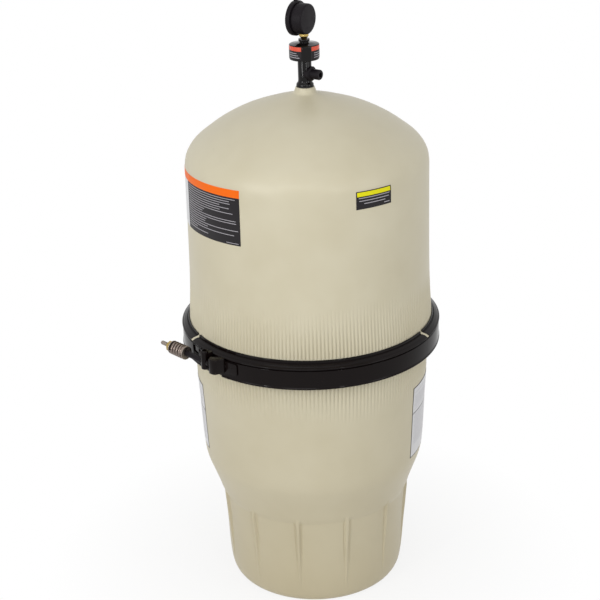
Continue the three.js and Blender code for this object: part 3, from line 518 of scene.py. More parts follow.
def dress(tree, shader, place, colour, cloud, rough, grain, strength, bump_depth):
    """Gives a surface its colour, a gloss that varies with the cloud and a fine grain."""
    gloss = add(tree, "ShaderNodeMapRange", {
        "Value": cloud, "From Min": 0.3, "From Max": 0.7, "To Min": rough[0], "To Max": rough[1],
    })
    fine = add(tree, "ShaderNodeTexNoise", {"Vector": place, "Scale": per_mm(grain), "Detail": 2})
    bump = add(tree, "ShaderNodeBump", {
        "Height": fine.outputs["Fac"], "Strength": strength, "Distance": bump_depth,
    })
    tree.links.new(colour, shader.inputs["Base Color"])
    tree.links.new(gloss.outputs["Result"], shader.inputs["Roughness"])
    tree.links.new(bump.outputs["Normal"], shader.inputs["Normal"])


def moulded_cream_polymer():
    """Glass-filled polypropylene: even cream, satin, slowly mottled, faintly rubbed, with a mould grain and
    painted shade low down.
    """
    surface, tree, shader, place = new_surface("moulded_cream_polymer")
    cloudy = add(tree, "ShaderNodeTexNoise", {
        "Vector": place, "Scale": per_mm(160), "Detail": 3, "Roughness": 0.55,
    })
    mottled = add(tree, "ShaderNodeValToRGB", {"Fac": cloudy.outputs["Fac"]})
    darker, paler = mottled.color_ramp.elements
    darker.position = 0.35
    darker.color = linear("#C8C0A6")
    paler.position = 0.7
    paler.color = linear("#CFC8B0")
    stretched = add(tree, "ShaderNodeMapping", {
        "Vector": place, "Rotation": (0.5, 0.3, 0.7), "Scale": (1, 1, 5),
    })
    rub = add(tree, "ShaderNodeTexNoise", {
        "Vector": stretched.outputs["Vector"], "Scale": per_mm(28), "Detail": 6, "Roughness": 0.7,
    })
    rub_mask = add(tree, "ShaderNodeMapRange", {
        "Value": rub.outputs["Fac"], "From Min": 0.64, "From Max": 0.78, "To Min": 0.0, "To Max": 0.22,
    })
    rubbed = add(tree, "ShaderNodeMix", {
        0: rub_mask.outputs["Result"], 6: mottled.outputs["Color"], 7: linear("#B7AE94"),
    }, data_type="RGBA")
    # Painted shade: the cream darkens towards the floor, where the lower tank gets less light.
    height = add(tree, "ShaderNodeSeparateXYZ", {"Vector": place})
    low_shade_share = add(tree, "ShaderNodeMapRange", {
        "Value": height.outputs["Z"], "From Min": 0.5, "From Max": 0.05, "To Min": 0.0, "To Max": 0.5,
    })
    painted_low_shade = add(tree, "ShaderNodeMix", {
        0: low_shade_share.outputs["Result"], 6: rubbed.outputs[2], 7: linear("#B3A583"),
    }, data_type="RGBA")
    dress(tree, shader, place, painted_low_shade.outputs[2], cloudy.outputs["Fac"], (0.36, 0.46), 2.2, 0.05, 0.0004)
    shader.inputs["IOR"].default_value = 1.49
    return surface


def speckled(name, dark, light, rough, blotch, grain, bump_depth=0.0002, metallic=0.0, sheen=0.5):
    """A plain finish with slow colour variation, uneven gloss and a fine grain."""
    surface, tree, shader, place = new_surface(name)
    cloud = add(tree, "ShaderNodeTexNoise", {
        "Vector": place, "Scale": per_mm(blotch), "Detail": 4, "Roughness": 0.6,
    })
    colour = add(tree, "ShaderNodeMix", {
        0: cloud.outputs["Fac"], 6: linear(dark), 7: linear(light),
    }, data_type="RGBA")
    dress(tree, shader, place, colour.outputs[2], cloud.outputs["Fac"], rough, grain, 0.15, bump_depth)
    shader.inputs["Metallic"].default_value = metallic
    shader.inputs["Specular IOR Level"].default_value = sheen
    return surface


CREAM = moulded_cream_polymer()
# Black powder coat, cured glossy with a slight orange peel; a warm brown black.
COATED_STEEL = speckled("glossy_black_powder_coat", "#0C0707", "#130C0B", (0.09, 0.15), 60, 4, 0.0001,
                        sheen=0.12)
# Glass-filled nylon with a moulded gloss.
BLACK_NYLON = speckled("gloss_black_nylon", "#080606", "#0E0B0C", (0.02, 0.06), 30, 1.5, 0.000005,
                       sheen=0.22)
# Black ABS with a fine matt mould texture.
MATT_ABS = speckled("matt_black_abs", "#130F13", "#191519", (0.42, 0.55), 20, 0.9, 0.0003, sheen=0.12)
# Zinc-plated steel gone dull grey-brown.
DULL_ZINC = speckled("dull_zinc_plated_steel", "#857A74", "#A39A90", (0.34, 0.5), 8, 0.7, metallic=1.0)
# Oil-tempered spring wire, smooth and greyish brown.
SPRING_STEEL = speckled("oil_tempered_spring_wire", "#6E625C", "#8A7E76", (0.26, 0.36), 14, 3, 0.00002,
                        metallic=1.0)
# Turned brass, lightly tarnished.
TURNED_BRASS = speckled("turned_brass", "#9C8448", "#BFA868", (0.26, 0.4), 10, 0.8, metallic=1.0)
# Nitrile seal rubber, soft matt black.
SEAL_RUBBER = speckled("nitrile_seal_rubber", "#171717", "#202020", (0.7, 0.85), 20, 1)
# Moulded pipework inside, grey and white, satin.
GREY_ABS = speckled("grey_moulded_abs", "#4C5052", "#595D5F", (0.4, 0.5), 60, 1.4)
WHITE_ABS = speckled("white_moulded_abs", "#DEDCD4", "#EAE8E1", (0.4, 0.5), 60, 1.4)
# Soft cast polyurethane of the element caps, dull.
BLUE_URETHANE = speckled("blue_cast_polyurethane", "#2B568F", "#34639F", (0.55, 0.7), 50, 2)
# Spun-bonded polyester paper: matt white with a felted fibre.
SPUN_POLYESTER = speckled("spun_bonded_polyester", "#DFE2E4", "#F1F2F2", (0.85, 0.95), 9, 0.6, 0.0008)
# Printed polyester film of the labels, satin laminated, with its inks.
LABEL_BLACK = speckled("black_label_film", "#1B181B", "#232023", (0.42, 0.52), 40, 2, sheen=0.2)
LABEL_ORANGE = speckled("orange_label_film", "#F26600", "#F87106", (0.42, 0.52), 40, 2, sheen=0.2)
LABEL_YELLOW = speckled("yellow_label_film", "#E0D80C", "#EAE312", (0.42, 0.52), 40, 2, sheen=0.2)
LABEL_WHITE = speckled("white_label_film", "#CFCFD2", "#DADADC", (0.3, 0.4), 40, 2)
LABEL_RED = speckled("orange_red_label_film", "#D8492C", "#E3583A", (0.3, 0.4), 40, 2)
LABEL_GREY = speckled("grey_label_ink", "#A19EA4", "#ACA9AF", (0.42, 0.52), 40, 2)
LABEL_PALE_INK = speckled("pale_label_ink", "#A3A1A9", "#ADABB2", (0.42, 0.52), 40, 2)
# Enamelled dial, satin white, and its black print.
DIAL_ENAMEL = speckled("white_dial_enamel", "#ECEBE6", "#F4F3EF", (0.35, 0.45), 20, 1)
DIAL_INK = speckled("black_dial_ink", "#141414", "#1B1B1B", (0.4, 0.5), 20, 1)


def clear_polycarbonate():
    """Clear moulded lens, faintly hazed."""
    surface, tree, shader, place = new_surface("clear_polycarbonate")
    haze = add(tree, "ShaderNodeTexNoise", {"Vector": place, "Scale": per_mm(12), "Detail": 3})
    gloss = add(tree, "ShaderNodeMapRange", {"Value": haze.outputs["Fac"], "To Min": 0.02, "To Max": 0.1})
    tree.links.new(gloss.outputs["Result"], shader.inputs["Roughness"])
    shader.inputs["Base Color"].default_value = linear("#F4F8F8")
    shader.inputs["Transmission Weight"].default_value = 1.0
    shader.inputs["IOR"].default_value = 1.45
    return surface


CLEAR_LENS = clear_polycarbonate()


# Camera and light

def camera():
    data = bpy.data.cameras.new("camera")
    data.sensor_width = FILM_WIDTH
    data.lens = FOCAL_PIXELS * data.sensor_width / PHOTO_PIXELS
    data.shift_y = -(PHOTO_PIXELS / 2 - AXIS_PIXEL_Y) / PHOTO_PIXELS
    data.clip_end = 100
    eye = bpy.data.objects.new("camera", data)
    pitch, yaw, roll = (math.radians(v) for v in (CAMERA_PITCH, CAMERA_YAW, CAMERA_ROLL))
    ahead = Vector((math.sin(yaw) * math.cos(pitch), math.cos(yaw) * math.cos(pitch), -math.sin(pitch)))
    right = ahead.cross(UP).normalized()
    above = right.cross(ahead)
    level_right = right * math.cos(roll) + above * math.sin(roll)
    level_up = above * math.cos(roll) - right * math.sin(roll)
    eye.matrix_world = placed(level_right, level_up, -ahead, Vector((0, -CAMERA_BACK, CAMERA_UP)))
    bpy.context.scene.collection.objects.link(eye)
    bpy.context.scene.camera = eye


def lamp(name, place, target, size, power):
    data = bpy.data.lights.new(name, "AREA")
    data.shape = "RECTANGLE"
    data.size, data.size_y = size
    data.energy = power
    light = bpy.data.objects.new(name, data)
    light.location = place
    light.rotation_euler = (Vector(target) - Vector(place)).to_track_quat("-Z", "Y").to_euler()
    bpy.context.scene.collection.objects.link(light)


def shows_background(tree):
    """1 where the camera looks, also in a mirror or through glass; 0 for light on the object."""
    ray = add(tree, "ShaderNodeLightPath")
    seen = add(tree, "ShaderNodeMath", {
        0: ray.outputs["Is Camera Ray"], 1: ray.outputs["Is Glossy Ray"],
    }, operation="MAXIMUM")
    shown = add(tree, "ShaderNodeMath", {
        0: seen.outputs[0], 1: ray.outputs["Is Transmission Ray"],
    }, operation="MAXIMUM")
    return shown.outputs[0]


def studio():
    for settings in LAMPS:
        lamp(*settings)
    world = bpy.data.worlds.new("studio")
    world.use_nodes = True
    bpy.context.scene.world = world
    tree = world.node_tree
    tree.nodes.clear()
    shown = shows_background(tree)
    soft = add(tree, "ShaderNodeBackground", {"Color": WHITE, "Strength": ROOM_LIGHT})
    white = add(tree, "ShaderNodeBackground", {"Color": WHITE, "Strength": 1.0})
    both = add(tree, "ShaderNodeMixShader", {0: shown, 1: soft.outputs[0], 2: white.outputs[0]})
    add(tree, "ShaderNodeOutputWorld", {"Surface": both.outputs[0]})


def floor():
    """Pale floor that runs into the white background and keeps the shadow near the foot."""
    pick_none()
    bpy.ops.mesh.primitive_plane_add(size=FLOOR_SIZE, location=(0, 0, -FLOOR_BELOW))
    ground = bpy.context.object
    ground.name = "floor"
    surface, tree, shader, place = new_surface("pale_floor")
    shader.inputs["Base Color"].default_value = linear("#E8E7E4")
    shader.inputs["Roughness"].default_value = 0.9
    distance = add(tree, "ShaderNodeVectorMath", {0: place}, operation="LENGTH")
    paling = add(tree, "ShaderNodeMapRange", {
        "Value": distance.outputs["Value"], "From Min": 0.2, "From Max": FLOOR_WHITE_FROM,
        "To Min": 0.84, "To Max": 1.0,
    })
    glow = add(tree, "ShaderNodeEmission", {"Color": WHITE, "Strength": 1.0})
    grey = add(tree, "ShaderNodeMath", {
        0: shows_background(tree), 1: paling.outputs["Result"],
    }, operation="MULTIPLY")
    lit = add(tree, "ShaderNodeMixShader", {0: grey.outputs[0], 1: shader.outputs[0], 2: glow.outputs[0]})
    tree.links.new(lit.outputs[0], tree.nodes["Material Output"].inputs["Surface"])
    ground.data.materials.append(surface)


# Tank shells

def fade(value, start, end):
    """1 at start, 0 at end, smooth between."""
    share = min(1, max(0, (value - start) / (end - start)))
    return 1 - share * share * (3 - 2 * share)


def finer(outline, step):
    """Rows no further apart than a step, on smooth curves through the outline's points."""
    rows = []
    last = len(outline) - 1
    for i in range(last):
        p0, p1, p2, p3 = (outline[min(max(k, 0), last)] for k in (i - 1, i, i + 1, i + 2))
        parts = max(1, math.ceil(math.dist(p1, p2) / step))
        for k in range(parts):
            t = k / parts
            rows.append(tuple(
                0.5 * (2 * b + (c - a) * t + (2 * a - 5 * b + 4 * c - d) * t * t
                       + (3 * b - a - 3 * c + d) * t ** 3)
                for a, b, c, d in zip(p0, p1, p2, p3)
            ))
    rows.append(outline[-1])
    return rows


def flip(rows):
    return [(r, z) for z, r in rows]


UPPER_ROWS = finer(UPPER_OUTLINE, SHELL_ROW_STEP)
FOOT_ROWS = finer(FOOT_OUTLINE, FOOT_ROW_STEP)
BOWL_ROWS = finer(BOWL_OUTLINE, SHELL_ROW_STEP)


def outside_radius(z):
    outline = UPPER_ROWS if z > SPLIT_Z else FOOT_ROWS + BOWL_ROWS
    for (z0, r0), (z1, r1) in zip(outline, outline[1:]):
        if z0 <= z <= z1:
            return r0 + (r1 - r0) * (z - z0) / (z1 - z0)
    return outline[0][1] if z < outline[0][0] else outline[-1][1]


def flute(piece, count, fading, low, high):
    """Sinks fine upright grooves into the outer wall, round ridges left between them."""
    for vertex in piece.data.vertices:
        x, y, z = vertex.co / MM
        radius = math.hypot(x, y)
        if not low < z < high or radius < outside_radius(z) - 1:
            continue
        ridge = abs(math.cos(count * math.atan2(x, -y) / 2)) ** FLUTE_ROUNDNESS
        new = radius + FLUTE_DEPTH * fade(z, *fading) * (ridge - 1)
        vertex.co.x *= new / radius
        vertex.co.y *= new / radius


def rib_foot(piece):
    """Raises the foot's upright ribs, each in a shallow groove, which narrow and fade downwards."""
    low, high = FOOT_RIB_Z
    narrow, wide = FOOT_RIB_WIDTH
    pitch = 360 / FOOT_RIBS
    for vertex in piece.data.vertices:
        x, y, z = vertex.co / MM
        radius = math.hypot(x, y)
        if not low < z < FOOT_TOP_Z + 9 or radius < outside_radius(z) - 1.5:
            continue
        azimuth = math.degrees(math.atan2(x, -y)) - FOOT_RIB_AZ
        away = abs((azimuth + pitch / 2) % pitch - pitch / 2)
        across = math.radians(away) * radius
        rise = min(1, (z - low) / (high - low))
        half = (narrow + (wide - narrow) * rise) / 2
        groove = 0.3 * fade(abs(across - half * 1.1), 0, half * 0.5)
        ridge = fade(across, half * 0.35, half * 0.85) - groove
        proud = FOOT_RIB_PROUD * min(1, rise * 1.4) * fade(z, high, FOOT_TOP_Z + 5) * ridge
        vertex.co.x *= (radius + proud) / radius
        vertex.co.y *= (radius + proud) / radius


def upper_shell():
    # On the dome's slope the inner face also sinks, so the wall stays even.
    inner = [(z - 0.4 * max(0, z - DOME_Z) / 25, r - SHELL_WALL) for z, r in UPPER_OUTLINE[1::2] if r > 40]
    low = SPLIT_Z + SEAL_GAP
    rim = [(low, UPPER_OUTLINE[0][1] - SHELL_WALL), (low, FLANGE_R - 1), (SPLIT_Z + 1.3, FLANGE_R),
           (591.4, FLANGE_R), (602.1, 255.9)]
    rows = rim + UPPER_ROWS + BOSS_OUTLINE + BOSS_BORE + inner[::-1]
    piece = turned("upper_tank_shell", flip(rows), UPPER_FLUTES * COLUMNS_PER_FLUTE, smooth=50)
    flute(piece, UPPER_FLUTES, UPPER_FLUTES_FADE, *UPPER_FLUTES_Z)
    finish(piece, "lid", CREAM, "cream_shell", "upper_shell")


def lower_shell():
    inner_bowl = [(z, r - SHELL_WALL) for z, r in BOWL_OUTLINE[4::2]]
    inner_foot = [(z, r - FOOT_WALL) for z, r in FOOT_OUTLINE[0:-3:3]]
    rim = [(554.2, 244.4), (557.4, 262.8), (560.6, FLANGE_R), (SPLIT_Z - 1, FLANGE_R),
           (SPLIT_Z, FLANGE_R - 1), (SPLIT_Z, 237.6)]
    rows = DISH_BELOW + inner_foot[::-1] + FOOT_ROWS + BOWL_ROWS + rim + inner_bowl[::-1] + DISH_ABOVE
    piece = turned("lower_tank_shell", flip(rows), LOWER_FLUTES * COLUMNS_PER_FLUTE, smooth=50)
    flute(piece, LOWER_FLUTES, LOWER_FLUTES_FADE, *LOWER_FLUTES_Z)
    rib_foot(piece)
    bores = [drill(PORT_BORE_R, 200, 262, 48, facing_back(z)) for z in PORT_HEIGHTS.values()]
    cut(piece, *bores, drill(DRAIN_BORE_R, 180, 240, 48, facing_back(DRAIN_Z)))
    finish(piece, "tank", CREAM, "cream_shell", "lower_shell")


def port_pads():
    for name, z in PORT_HEIGHTS.items():
        pad = turned(f"{name}_pad", band(PORT_BORE_R, 46, 228, PAD_FACE_Y, 1.5), 72, facing_back(z))
        finish(pad, "tank", CREAM, "cream_shell")
    pad = turned("drain_pad", band(DRAIN_BORE_R, 22, 204, 226, 1.2), 48, facing_back(DRAIN_Z))
    finish(pad, "tank", CREAM, "cream_shell")


# Clamp: outlines are [radius, height]

RETAINER_OUTLINE = [
    (247.5, 550), (269.4, 550), (269.4, 591.0), (271.6, 591.1), (272.6, 591.9), (272.7, 593.0),
    (271.9, 594.0), (268.6, 595.4), (268.0, 596.3), (266.9, 597.0), (262.3, 599.6), (261.4, 599.8),
    (260.6, 598.9), (259.4, 598.9), (259.1, 600), (259.0, 604.9), (258.3, 606), (256.2, 606),
    (256.2, 602.8), (266.4, 592.2), (266.4, 556.4), (263.2, 553.2), (247.5, 553.2),
]
KEY_OUTLINE = [
    (256.5, 601.8), (266.0, 591.4), (269.6, 591.4), (271.4, 591.8), (271.9, 592.7), (271.4, 593.6),
    (268.4, 595.0), (267.6, 596.0), (266.7, 596.6), (262.2, 599.2), (260.3, 600.2), (258.4, 601.4),
    (256.5, 602.6),
]
WELD_OUTLINE = [
    (0, 274.1), (1.1, 274.3), (1.9, 274.8), (2.6, 275.0), (3.1, 274.8), (3.4, 274.3), (3.4, 273.8),
    (0, 273.8),
]


def wave(piece, ends):
    """Bends the ends of a clamp piece along an S, its inner edge towards the front."""
    for vertex in piece.data.vertices:
        x, y, _ = vertex.co / MM
        radius = math.hypot(x, y)
        azimuth = math.degrees(math.atan2(x, -y))
        for end in ends:
            away = abs((azimuth - end + 180) % 360 - 180)
            if away < WAVE_REACH and radius > WAVE_R[0] - 3:
                side = -1 if 0 < end < 180 else 1
                bend = side * GAP_WAVE * (2 * fade(radius, *WAVE_R) - 1) * fade(away, 1, WAVE_REACH)
                vertex.co.rotate(Matrix.Rotation(bend / radius, 3, "Z"))


def retainer(name, az_from, az_to, body, node):
    half = math.degrees(RETAINER_GAP / 2 / FLANGE_R)
    outline = round_corners(RETAINER_OUTLINE, 0.7)
    piece = swept(name, outline, az_from + half, az_to - half, round(az_to - az_from), 45)
    wave(piece, (az_from, az_to))
    finish(piece, body, COATED_STEEL, "black_coated_steel", node)


def gap_key(name, az):
    """The shell's flange, which shows between two retainers."""
    half = math.degrees(RETAINER_GAP / 2 / FLANGE_R) * 0.9
    piece = swept(name, KEY_OUTLINE, az - half, az + half, 4, 45)
    wave(piece, (az,))
    finish(piece, "lid", CREAM, "cream_shell")


def strap(name, az_from, az_to, body, node, slot=None):
    """The flat strap with its lip along the lower edge, and a slot where one is given."""
    low, high = STRAP_Z
    lip_top, lip_end = STRAP_LIP_HIGH
    outline = round_corners([
        (STRAP_IN_R, low), (STRAP_LIP_R, low), (STRAP_LIP_R, low + lip_top), (STRAP_OUT_R, low + lip_end),
        (STRAP_OUT_R, high), (STRAP_IN_R, high),
    ], 0.5)
    piece = swept(name, outline, az_from, az_to, round(az_to - az_from), smooth=45)
    if slot:
        cut(piece, slot)
    finish(piece, body, COATED_STEEL, "black_coated_steel", node)


def clamp():
    gap_key("left_flange_key", LEFT_GAP_AZ)
    gap_key("right_flange_key", RIGHT_GAP_AZ)
    retainer("front_retainer", LEFT_GAP_AZ, RIGHT_GAP_AZ, "clamp_front", "retainer_front")
    retainer("right_retainer", RIGHT_GAP_AZ, BACK_GAP_AZ, "clamp_right", "retainer_right")
    retainer("left_retainer", BACK_GAP_AZ, 360 + LEFT_GAP_AZ, "clamp_left", "retainer_left")
    right_seam, back_seam = RIGHT_GAP_AZ + STRAP_SEAM, BACK_GAP_AZ + STRAP_SEAM
    strap("front_strap", STRAP_FRONT_END, RIGHT_GAP_AZ - STRAP_SEAM, "clamp_front", "strap_front")
    strap("right_strap", right_seam, BACK_GAP_AZ - STRAP_SEAM, "clamp_right", "strap_right")
    slot = prism("slot", rounded_slab(30, 16, 3), 262, 280, facing(SLOT_AZ, SLOT_Z))
    strap("left_strap", back_seam, 360 + STRAP_LEFT_END, "clamp_left", "strap_left", slot)


def plate(name, az_from, az_to):
    """A rounded plate that lies on the strap."""
    low, high = PLATE_Z
    piece = swept(name, band(STRAP_OUT_R, PLATE_OUT_R, low, high, 0.7), az_from, az_to, 14)
    width = math.radians(az_to - az_from) * STRAP_OUT_R
    middle = facing((az_from + az_to) / 2, (low + high) / 2)
    across = prism("corners", rounded_slab(width - 0.5, high - low, 5), 260, 285, middle)
    carved(piece, across, "INTERSECT")
    return piece


def bolt_loop(lay, flat):
    """The bracket that holds the bolt's cross head, with its plate, weld dots and a black sleeve of painted
    shade on the shank.
    """
    arc = [(9 * math.cos(math.radians(a)) + CROSS_HEAD_AT, 9 * math.sin(math.radians(a)))
           for a in range(-90, 91, 15)]
    block = prism("bolt_loop_bracket", arc + [
        (-20, 8.9), (-24, 7.9), (-27, 5.6), (-29, 1.5), (-30.5, -5), (-32, -12), (-33, -16), (-20, -16),
        (CROSS_HEAD_AT, -14),
    ], -16.5, 15, bevel=1.2, segments=3)
    window = box("window", (18, 12, 12), (-6, 0, 0))
    cut(block, window, drill(5.8, -20, 11.6, 32, shift(CROSS_HEAD_AT, 0, 0)))
    block.data.transform(flat)
    loop = settle(joined("bolt_loop_bracket", [block, plate("plate", -42, -33)]))
    finish(loop, "clamp_front", COATED_STEEL, "black_coated_steel", "bolt_loop")
    for i, az in enumerate(WELD_AZ):
        dot = turned(f"weld_clamp_front_{i}", WELD_OUTLINE, 20, facing(az, WELD_Z))
        finish(dot, "clamp_front", COATED_STEEL, "black_coated_steel")
    # Painted shade: a black coated sleeve over the shank, where the bolt lies in shade between the loops.
    shank_shade_sleeve = turned("bolt_shade_sleeve", band(4.5, 6.6, -5.4, 0.8, 0.5), 32, lay)
    finish(shank_shade_sleeve, "clamp_front", COATED_STEEL, "black_coated_steel")


def barrel_lug(flat):
    """A rolled barrel, open at its core, on a web and a plate."""
    barrel = turned("barrel", band(0, 8, -16, 25, 3)[4:-4], 40)
    barrel.data.transform(shift(BARREL_AT, 0, 0))
    web = box("barrel_web", (13, 16, 34), (BARREL_AT - 1, -8, 2), bevel=1)
    barrel.data.transform(flat)
    web.data.transform(flat)
    rim = swept("slot_rim", band(272, 274.2, 570, 588, 0.9), -57, -56.3, 2)
    lug = settle(joined("barrel_bracket", [barrel, web, plate("left_plate", -56.4, -47), rim]))
    finish(lug, "clamp_left", COATED_STEEL, "black_coated_steel", "barrel_lug")


def t_bolt(lay, flat):
    """A cross bar and a shank that is threaded towards its end."""
    bar = turned("bar", band(0, 5.5, CROSS_HEAD_AT, 11, 1.2)[2:-2], 32)
    bar.data.transform(flat @ shift(CROSS_HEAD_AT, 0, 0))
    z, thread_end = THREAD
    outline = [(0, CROSS_HEAD_AT), (BOLT_R, CROSS_HEAD_AT), (BOLT_R, z)]
    while z < thread_end:
        outline += [(4.2, z), (4.2, z + 0.35), (3.6, z + 0.9), (3.6, z + 1.1)]
        z += THREAD_PITCH
    shank = turned("shank", outline + [(BOLT_R, 144), (3.3, 145.8), (0, 145.8)], 32, lay)
    bolt = settle(joined("t_bolt_threaded", [bar, shank]), smooth=45)
    finish(bolt, "clamp_front", DULL_ZINC, "plain_steel", "t_bolt")


def washer(name, start, lay, body, node):
    ring = band(BOLT_HOLE_R, WASHER_R, start, start + WASHER_THICK, 0.6)
    finish(turned(name, ring, 48, lay), body, DULL_ZINC, "plain_steel", node)


def bolt_hardware():
    lay = along_bolt()
    flat = across_bolt()
    bolt_loop(lay, flat)
    barrel_lug(flat)
    t_bolt(lay, flat)
    sleeve = turned("bolt_sleeve_tube", band(BOLT_HOLE_R, 6, *SLEEVE, 0.5), 36, lay)
    finish(sleeve, "clamp_left", MATT_ABS, "black_plastic", "bolt_sleeve")
    washer("inner_spring_washer", 67.1, lay, "clamp_left", "inner_washer")
    washer("outer_spring_washer", 108.3, lay, "spring_washer", "outer_washer")
    spring(lay)
    nut(lay)


def spring(lay):
    """Round wire wound as a smooth helix that flattens at both ends."""
    sides, per_turn = 12, 40
    rise = SPRING_LENGTH - 2 * SPRING_WIRE_R - 2 * SPRING_PLAY
    start = SPRING_FROM + SPRING_WIRE_R + SPRING_PLAY
    pick_none()
    bpy.ops.mesh.primitive_circle_add(vertices=sides, radius=SPRING_WIRE_R * MM, location=(0, 0, 0))
    piece = called(bpy.context.object, "clamp_coil_spring")
    piece.data.transform(shift(SPRING_COIL_R, 0, start) @ Matrix.Rotation(math.pi / 2, 4, "X"))
    screw = piece.modifiers.new("coil", "SCREW")
    screw.angle = SPRING_TURNS * 2 * math.pi
    screw.screw_offset = rise * MM
    screw.steps = screw.render_steps = SPRING_TURNS * per_turn
    screw.axis = "Z"
    apply(piece, screw)
    for i, vertex in enumerate(piece.data.vertices):
        turns = i // sides / per_turn
        eased = min(1, max(0, (turns - SPRING_FLAT_TURN) / (SPRING_TURNS - 2 * SPRING_FLAT_TURN)))
        vertex.co.z += (eased - turns / SPRING_TURNS) * rise * MM
    close_up(merge=False)
    settle(piece, lay, 60)
    piece.data.materials.append(SPRING_STEEL)
    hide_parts("clamp_spring")
    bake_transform(piece)


def nut(lay):
    low, high = NUT
    body = prism("brass_hex_nut", hexagon(NUT_ACROSS), low, high)
    crown = turned("crown", [
        (0, low - 0.1), (9.6, low - 0.1), (11.9, low + 1.2), (11.9, high - 1.2), (9.6, high + 0.1),
        (0, high + 0.1),
    ], 48)
    carved(body, crown, "INTERSECT")
    cut(body, drill(BOLT_HOLE_R, low - 11, high + 9.6, 32))
    bevelled(body, 0.3, 2, 25)
    settle(body, lay, 35)
    finish(body, "nut", TURNED_BRASS, "brass", "clamp_nut")


# Labels, all plain

def label(name, az, z_range, surface, body, lift=0.0, tilt=0.0, slot="black_plastic"):
    """A curved patch that lies on the shell; tilt raises it, in millimetres per degree to the right."""
    low, high = z_range
    under, over = FILM
    rows = max(2, round((high - low) / LABEL_ROW))
    heights = [low + (high - low) * i / rows for i in range(rows + 1)]
    front = [(outside_radius(z) + over + lift, z) for z in heights]
    back = [(outside_radius(z) + under + lift, z) for z in heights[::-1]]
    piece = swept(name, front + back, *az, max(3, round(az[1] - az[0])), smooth=60)
    for vertex in piece.data.vertices:
        x, y, z = vertex.co / MM
        leaning = z + tilt * (math.degrees(math.atan2(x, -y)) - BIG_LABEL_EDGE)
        closer = 1 + (outside_radius(leaning) - outside_radius(z)) / math.hypot(x, y)
        vertex.co = Vector((x * closer, y * closer, leaning)) * MM
    finish(piece, body, surface, slot)


def ruled(name, az, z, thick, surface, body, tilt=0.0):
    label(name, az, (z, z + thick), surface, body, INK_LIFT, tilt)


def big_label():
    tilt = BIG_LABEL_TILT
    low, high = BIG_LABEL_Z
    side_panel = (BIG_LABEL_LEFT, SIDE_PANEL_EDGE)
    label("big_label_field", (SIDE_PANEL_EDGE, BIG_LABEL_EDGE), (low, high), LABEL_BLACK, "lid", 0, tilt)
    label("big_label_side_panel", side_panel, (low, high), LABEL_WHITE, "lid", 0, tilt, "white_plastic")
    label("big_label_stripe", (BIG_LABEL_LEFT, BIG_LABEL_EDGE), (high, BIG_STRIPE_TOP), LABEL_ORANGE, "lid",
          0, tilt)
    start, top = BIG_LINES_FROM
    for i, end in enumerate(BIG_LABEL_LINE_ENDS):
        ruled(f"big_label_line_{i}", (start, end), top - i * LINE_PITCH, 1.3, LABEL_GREY, "lid", tilt)
    ruled("big_label_corner_line", (-40, -33), 836, 1.2, LABEL_GREY, "lid", tilt)


def small_label():
    label("small_label_field", SMALL_LABEL_AZ, SMALL_LABEL_Z, LABEL_BLACK, "lid")
    label("small_label_stripe", SMALL_STRIPE_AZ, SMALL_STRIPE_Z, LABEL_YELLOW, "lid", 0.1)
    for i, ends in enumerate(SMALL_LABEL_LINES):
        ruled(f"small_label_line_{i}", ends, SMALL_LINES_TOP - i * SMALL_LINE_PITCH, 1.5, LABEL_GREY, "lid")


def bowl_labels():
    """White labels in a thin black border, ruled with lines of uneven length."""
    for side, start, end, low in BOWL_LABELS:
        label(f"{side}_label_edge", (start, end), (low, BOWL_LABEL_TOP), LABEL_BLACK, "tank")
        inside = (start + BOWL_LABEL_BORDER, end - BOWL_LABEL_BORDER)
        label(f"{side}_label", inside, (low + 2, BOWL_LABEL_TOP - 1.6), LABEL_WHITE, "tank", 0.1,
              slot="white_plastic")
        ruled(f"{side}_label_divider", (start + 0.4, end - 0.4), BOWL_DIVIDER_Z, 1.8, LABEL_BLACK, "tank")
        for i in range(BOWL_LINES):
            if i not in BOWL_BLANK_LINES:
                ends = (start + 2 + i * 3 % 2, end - 2 - i * 5 % 3)
                z = BOWL_LINES_TOP - i * LINE_PITCH
                ruled(f"{side}_label_line_{i}", ends, z, 1.2, LABEL_PALE_INK, "tank")


# Relief valve

def relief_valve():
    seal = turned("valve_foot_seal", band(11, 17.7, 1093.3, 1095.5, 0.8), 48)
    finish(seal, "lid", SEAL_RUBBER, "rubber", "valve_seal")
    column = turned("relief_valve_column", [
        (4, 1073), (10, 1073), (10, VALVE_FOOT_Z), (17.2, VALVE_FOOT_Z), (17.7, 1096.4), (17.6, 1098.6),
        (16.6, 1100.6), (14.9, 1102.2), (14.1, 1104.6), (13.7, 1108), (13.9, 1149), (13.3, 1150),
        (9, 1150), (9, 1186.4), (11.1, 1186.4), (11.3, 1186.8), (11.3, 1190.4), (10.9, 1191),
        (6.4, 1191), (6.4, 1182), (4, 1182),
    ])
    finish(column, "lid", BLACK_NYLON, "black_plastic", "valve_body")
    arm = turned("relief_valve_spout", [
        (0, 3), (12.6, 3), (13.0, 11.6), (14.4, 12.8), (15, 13.6), (15, 17.4), (14.4, 18), (12, 18.4),
        (10.6, 19.4), (10.4, 31), (10.4, 36.4), (9.2, 38), (5, 38), (5, 7), (0, 7),
    ], 64, SPOUT_FRAME)
    finish(arm, "lid", MATT_ABS, "black_plastic")
    relief_knob()


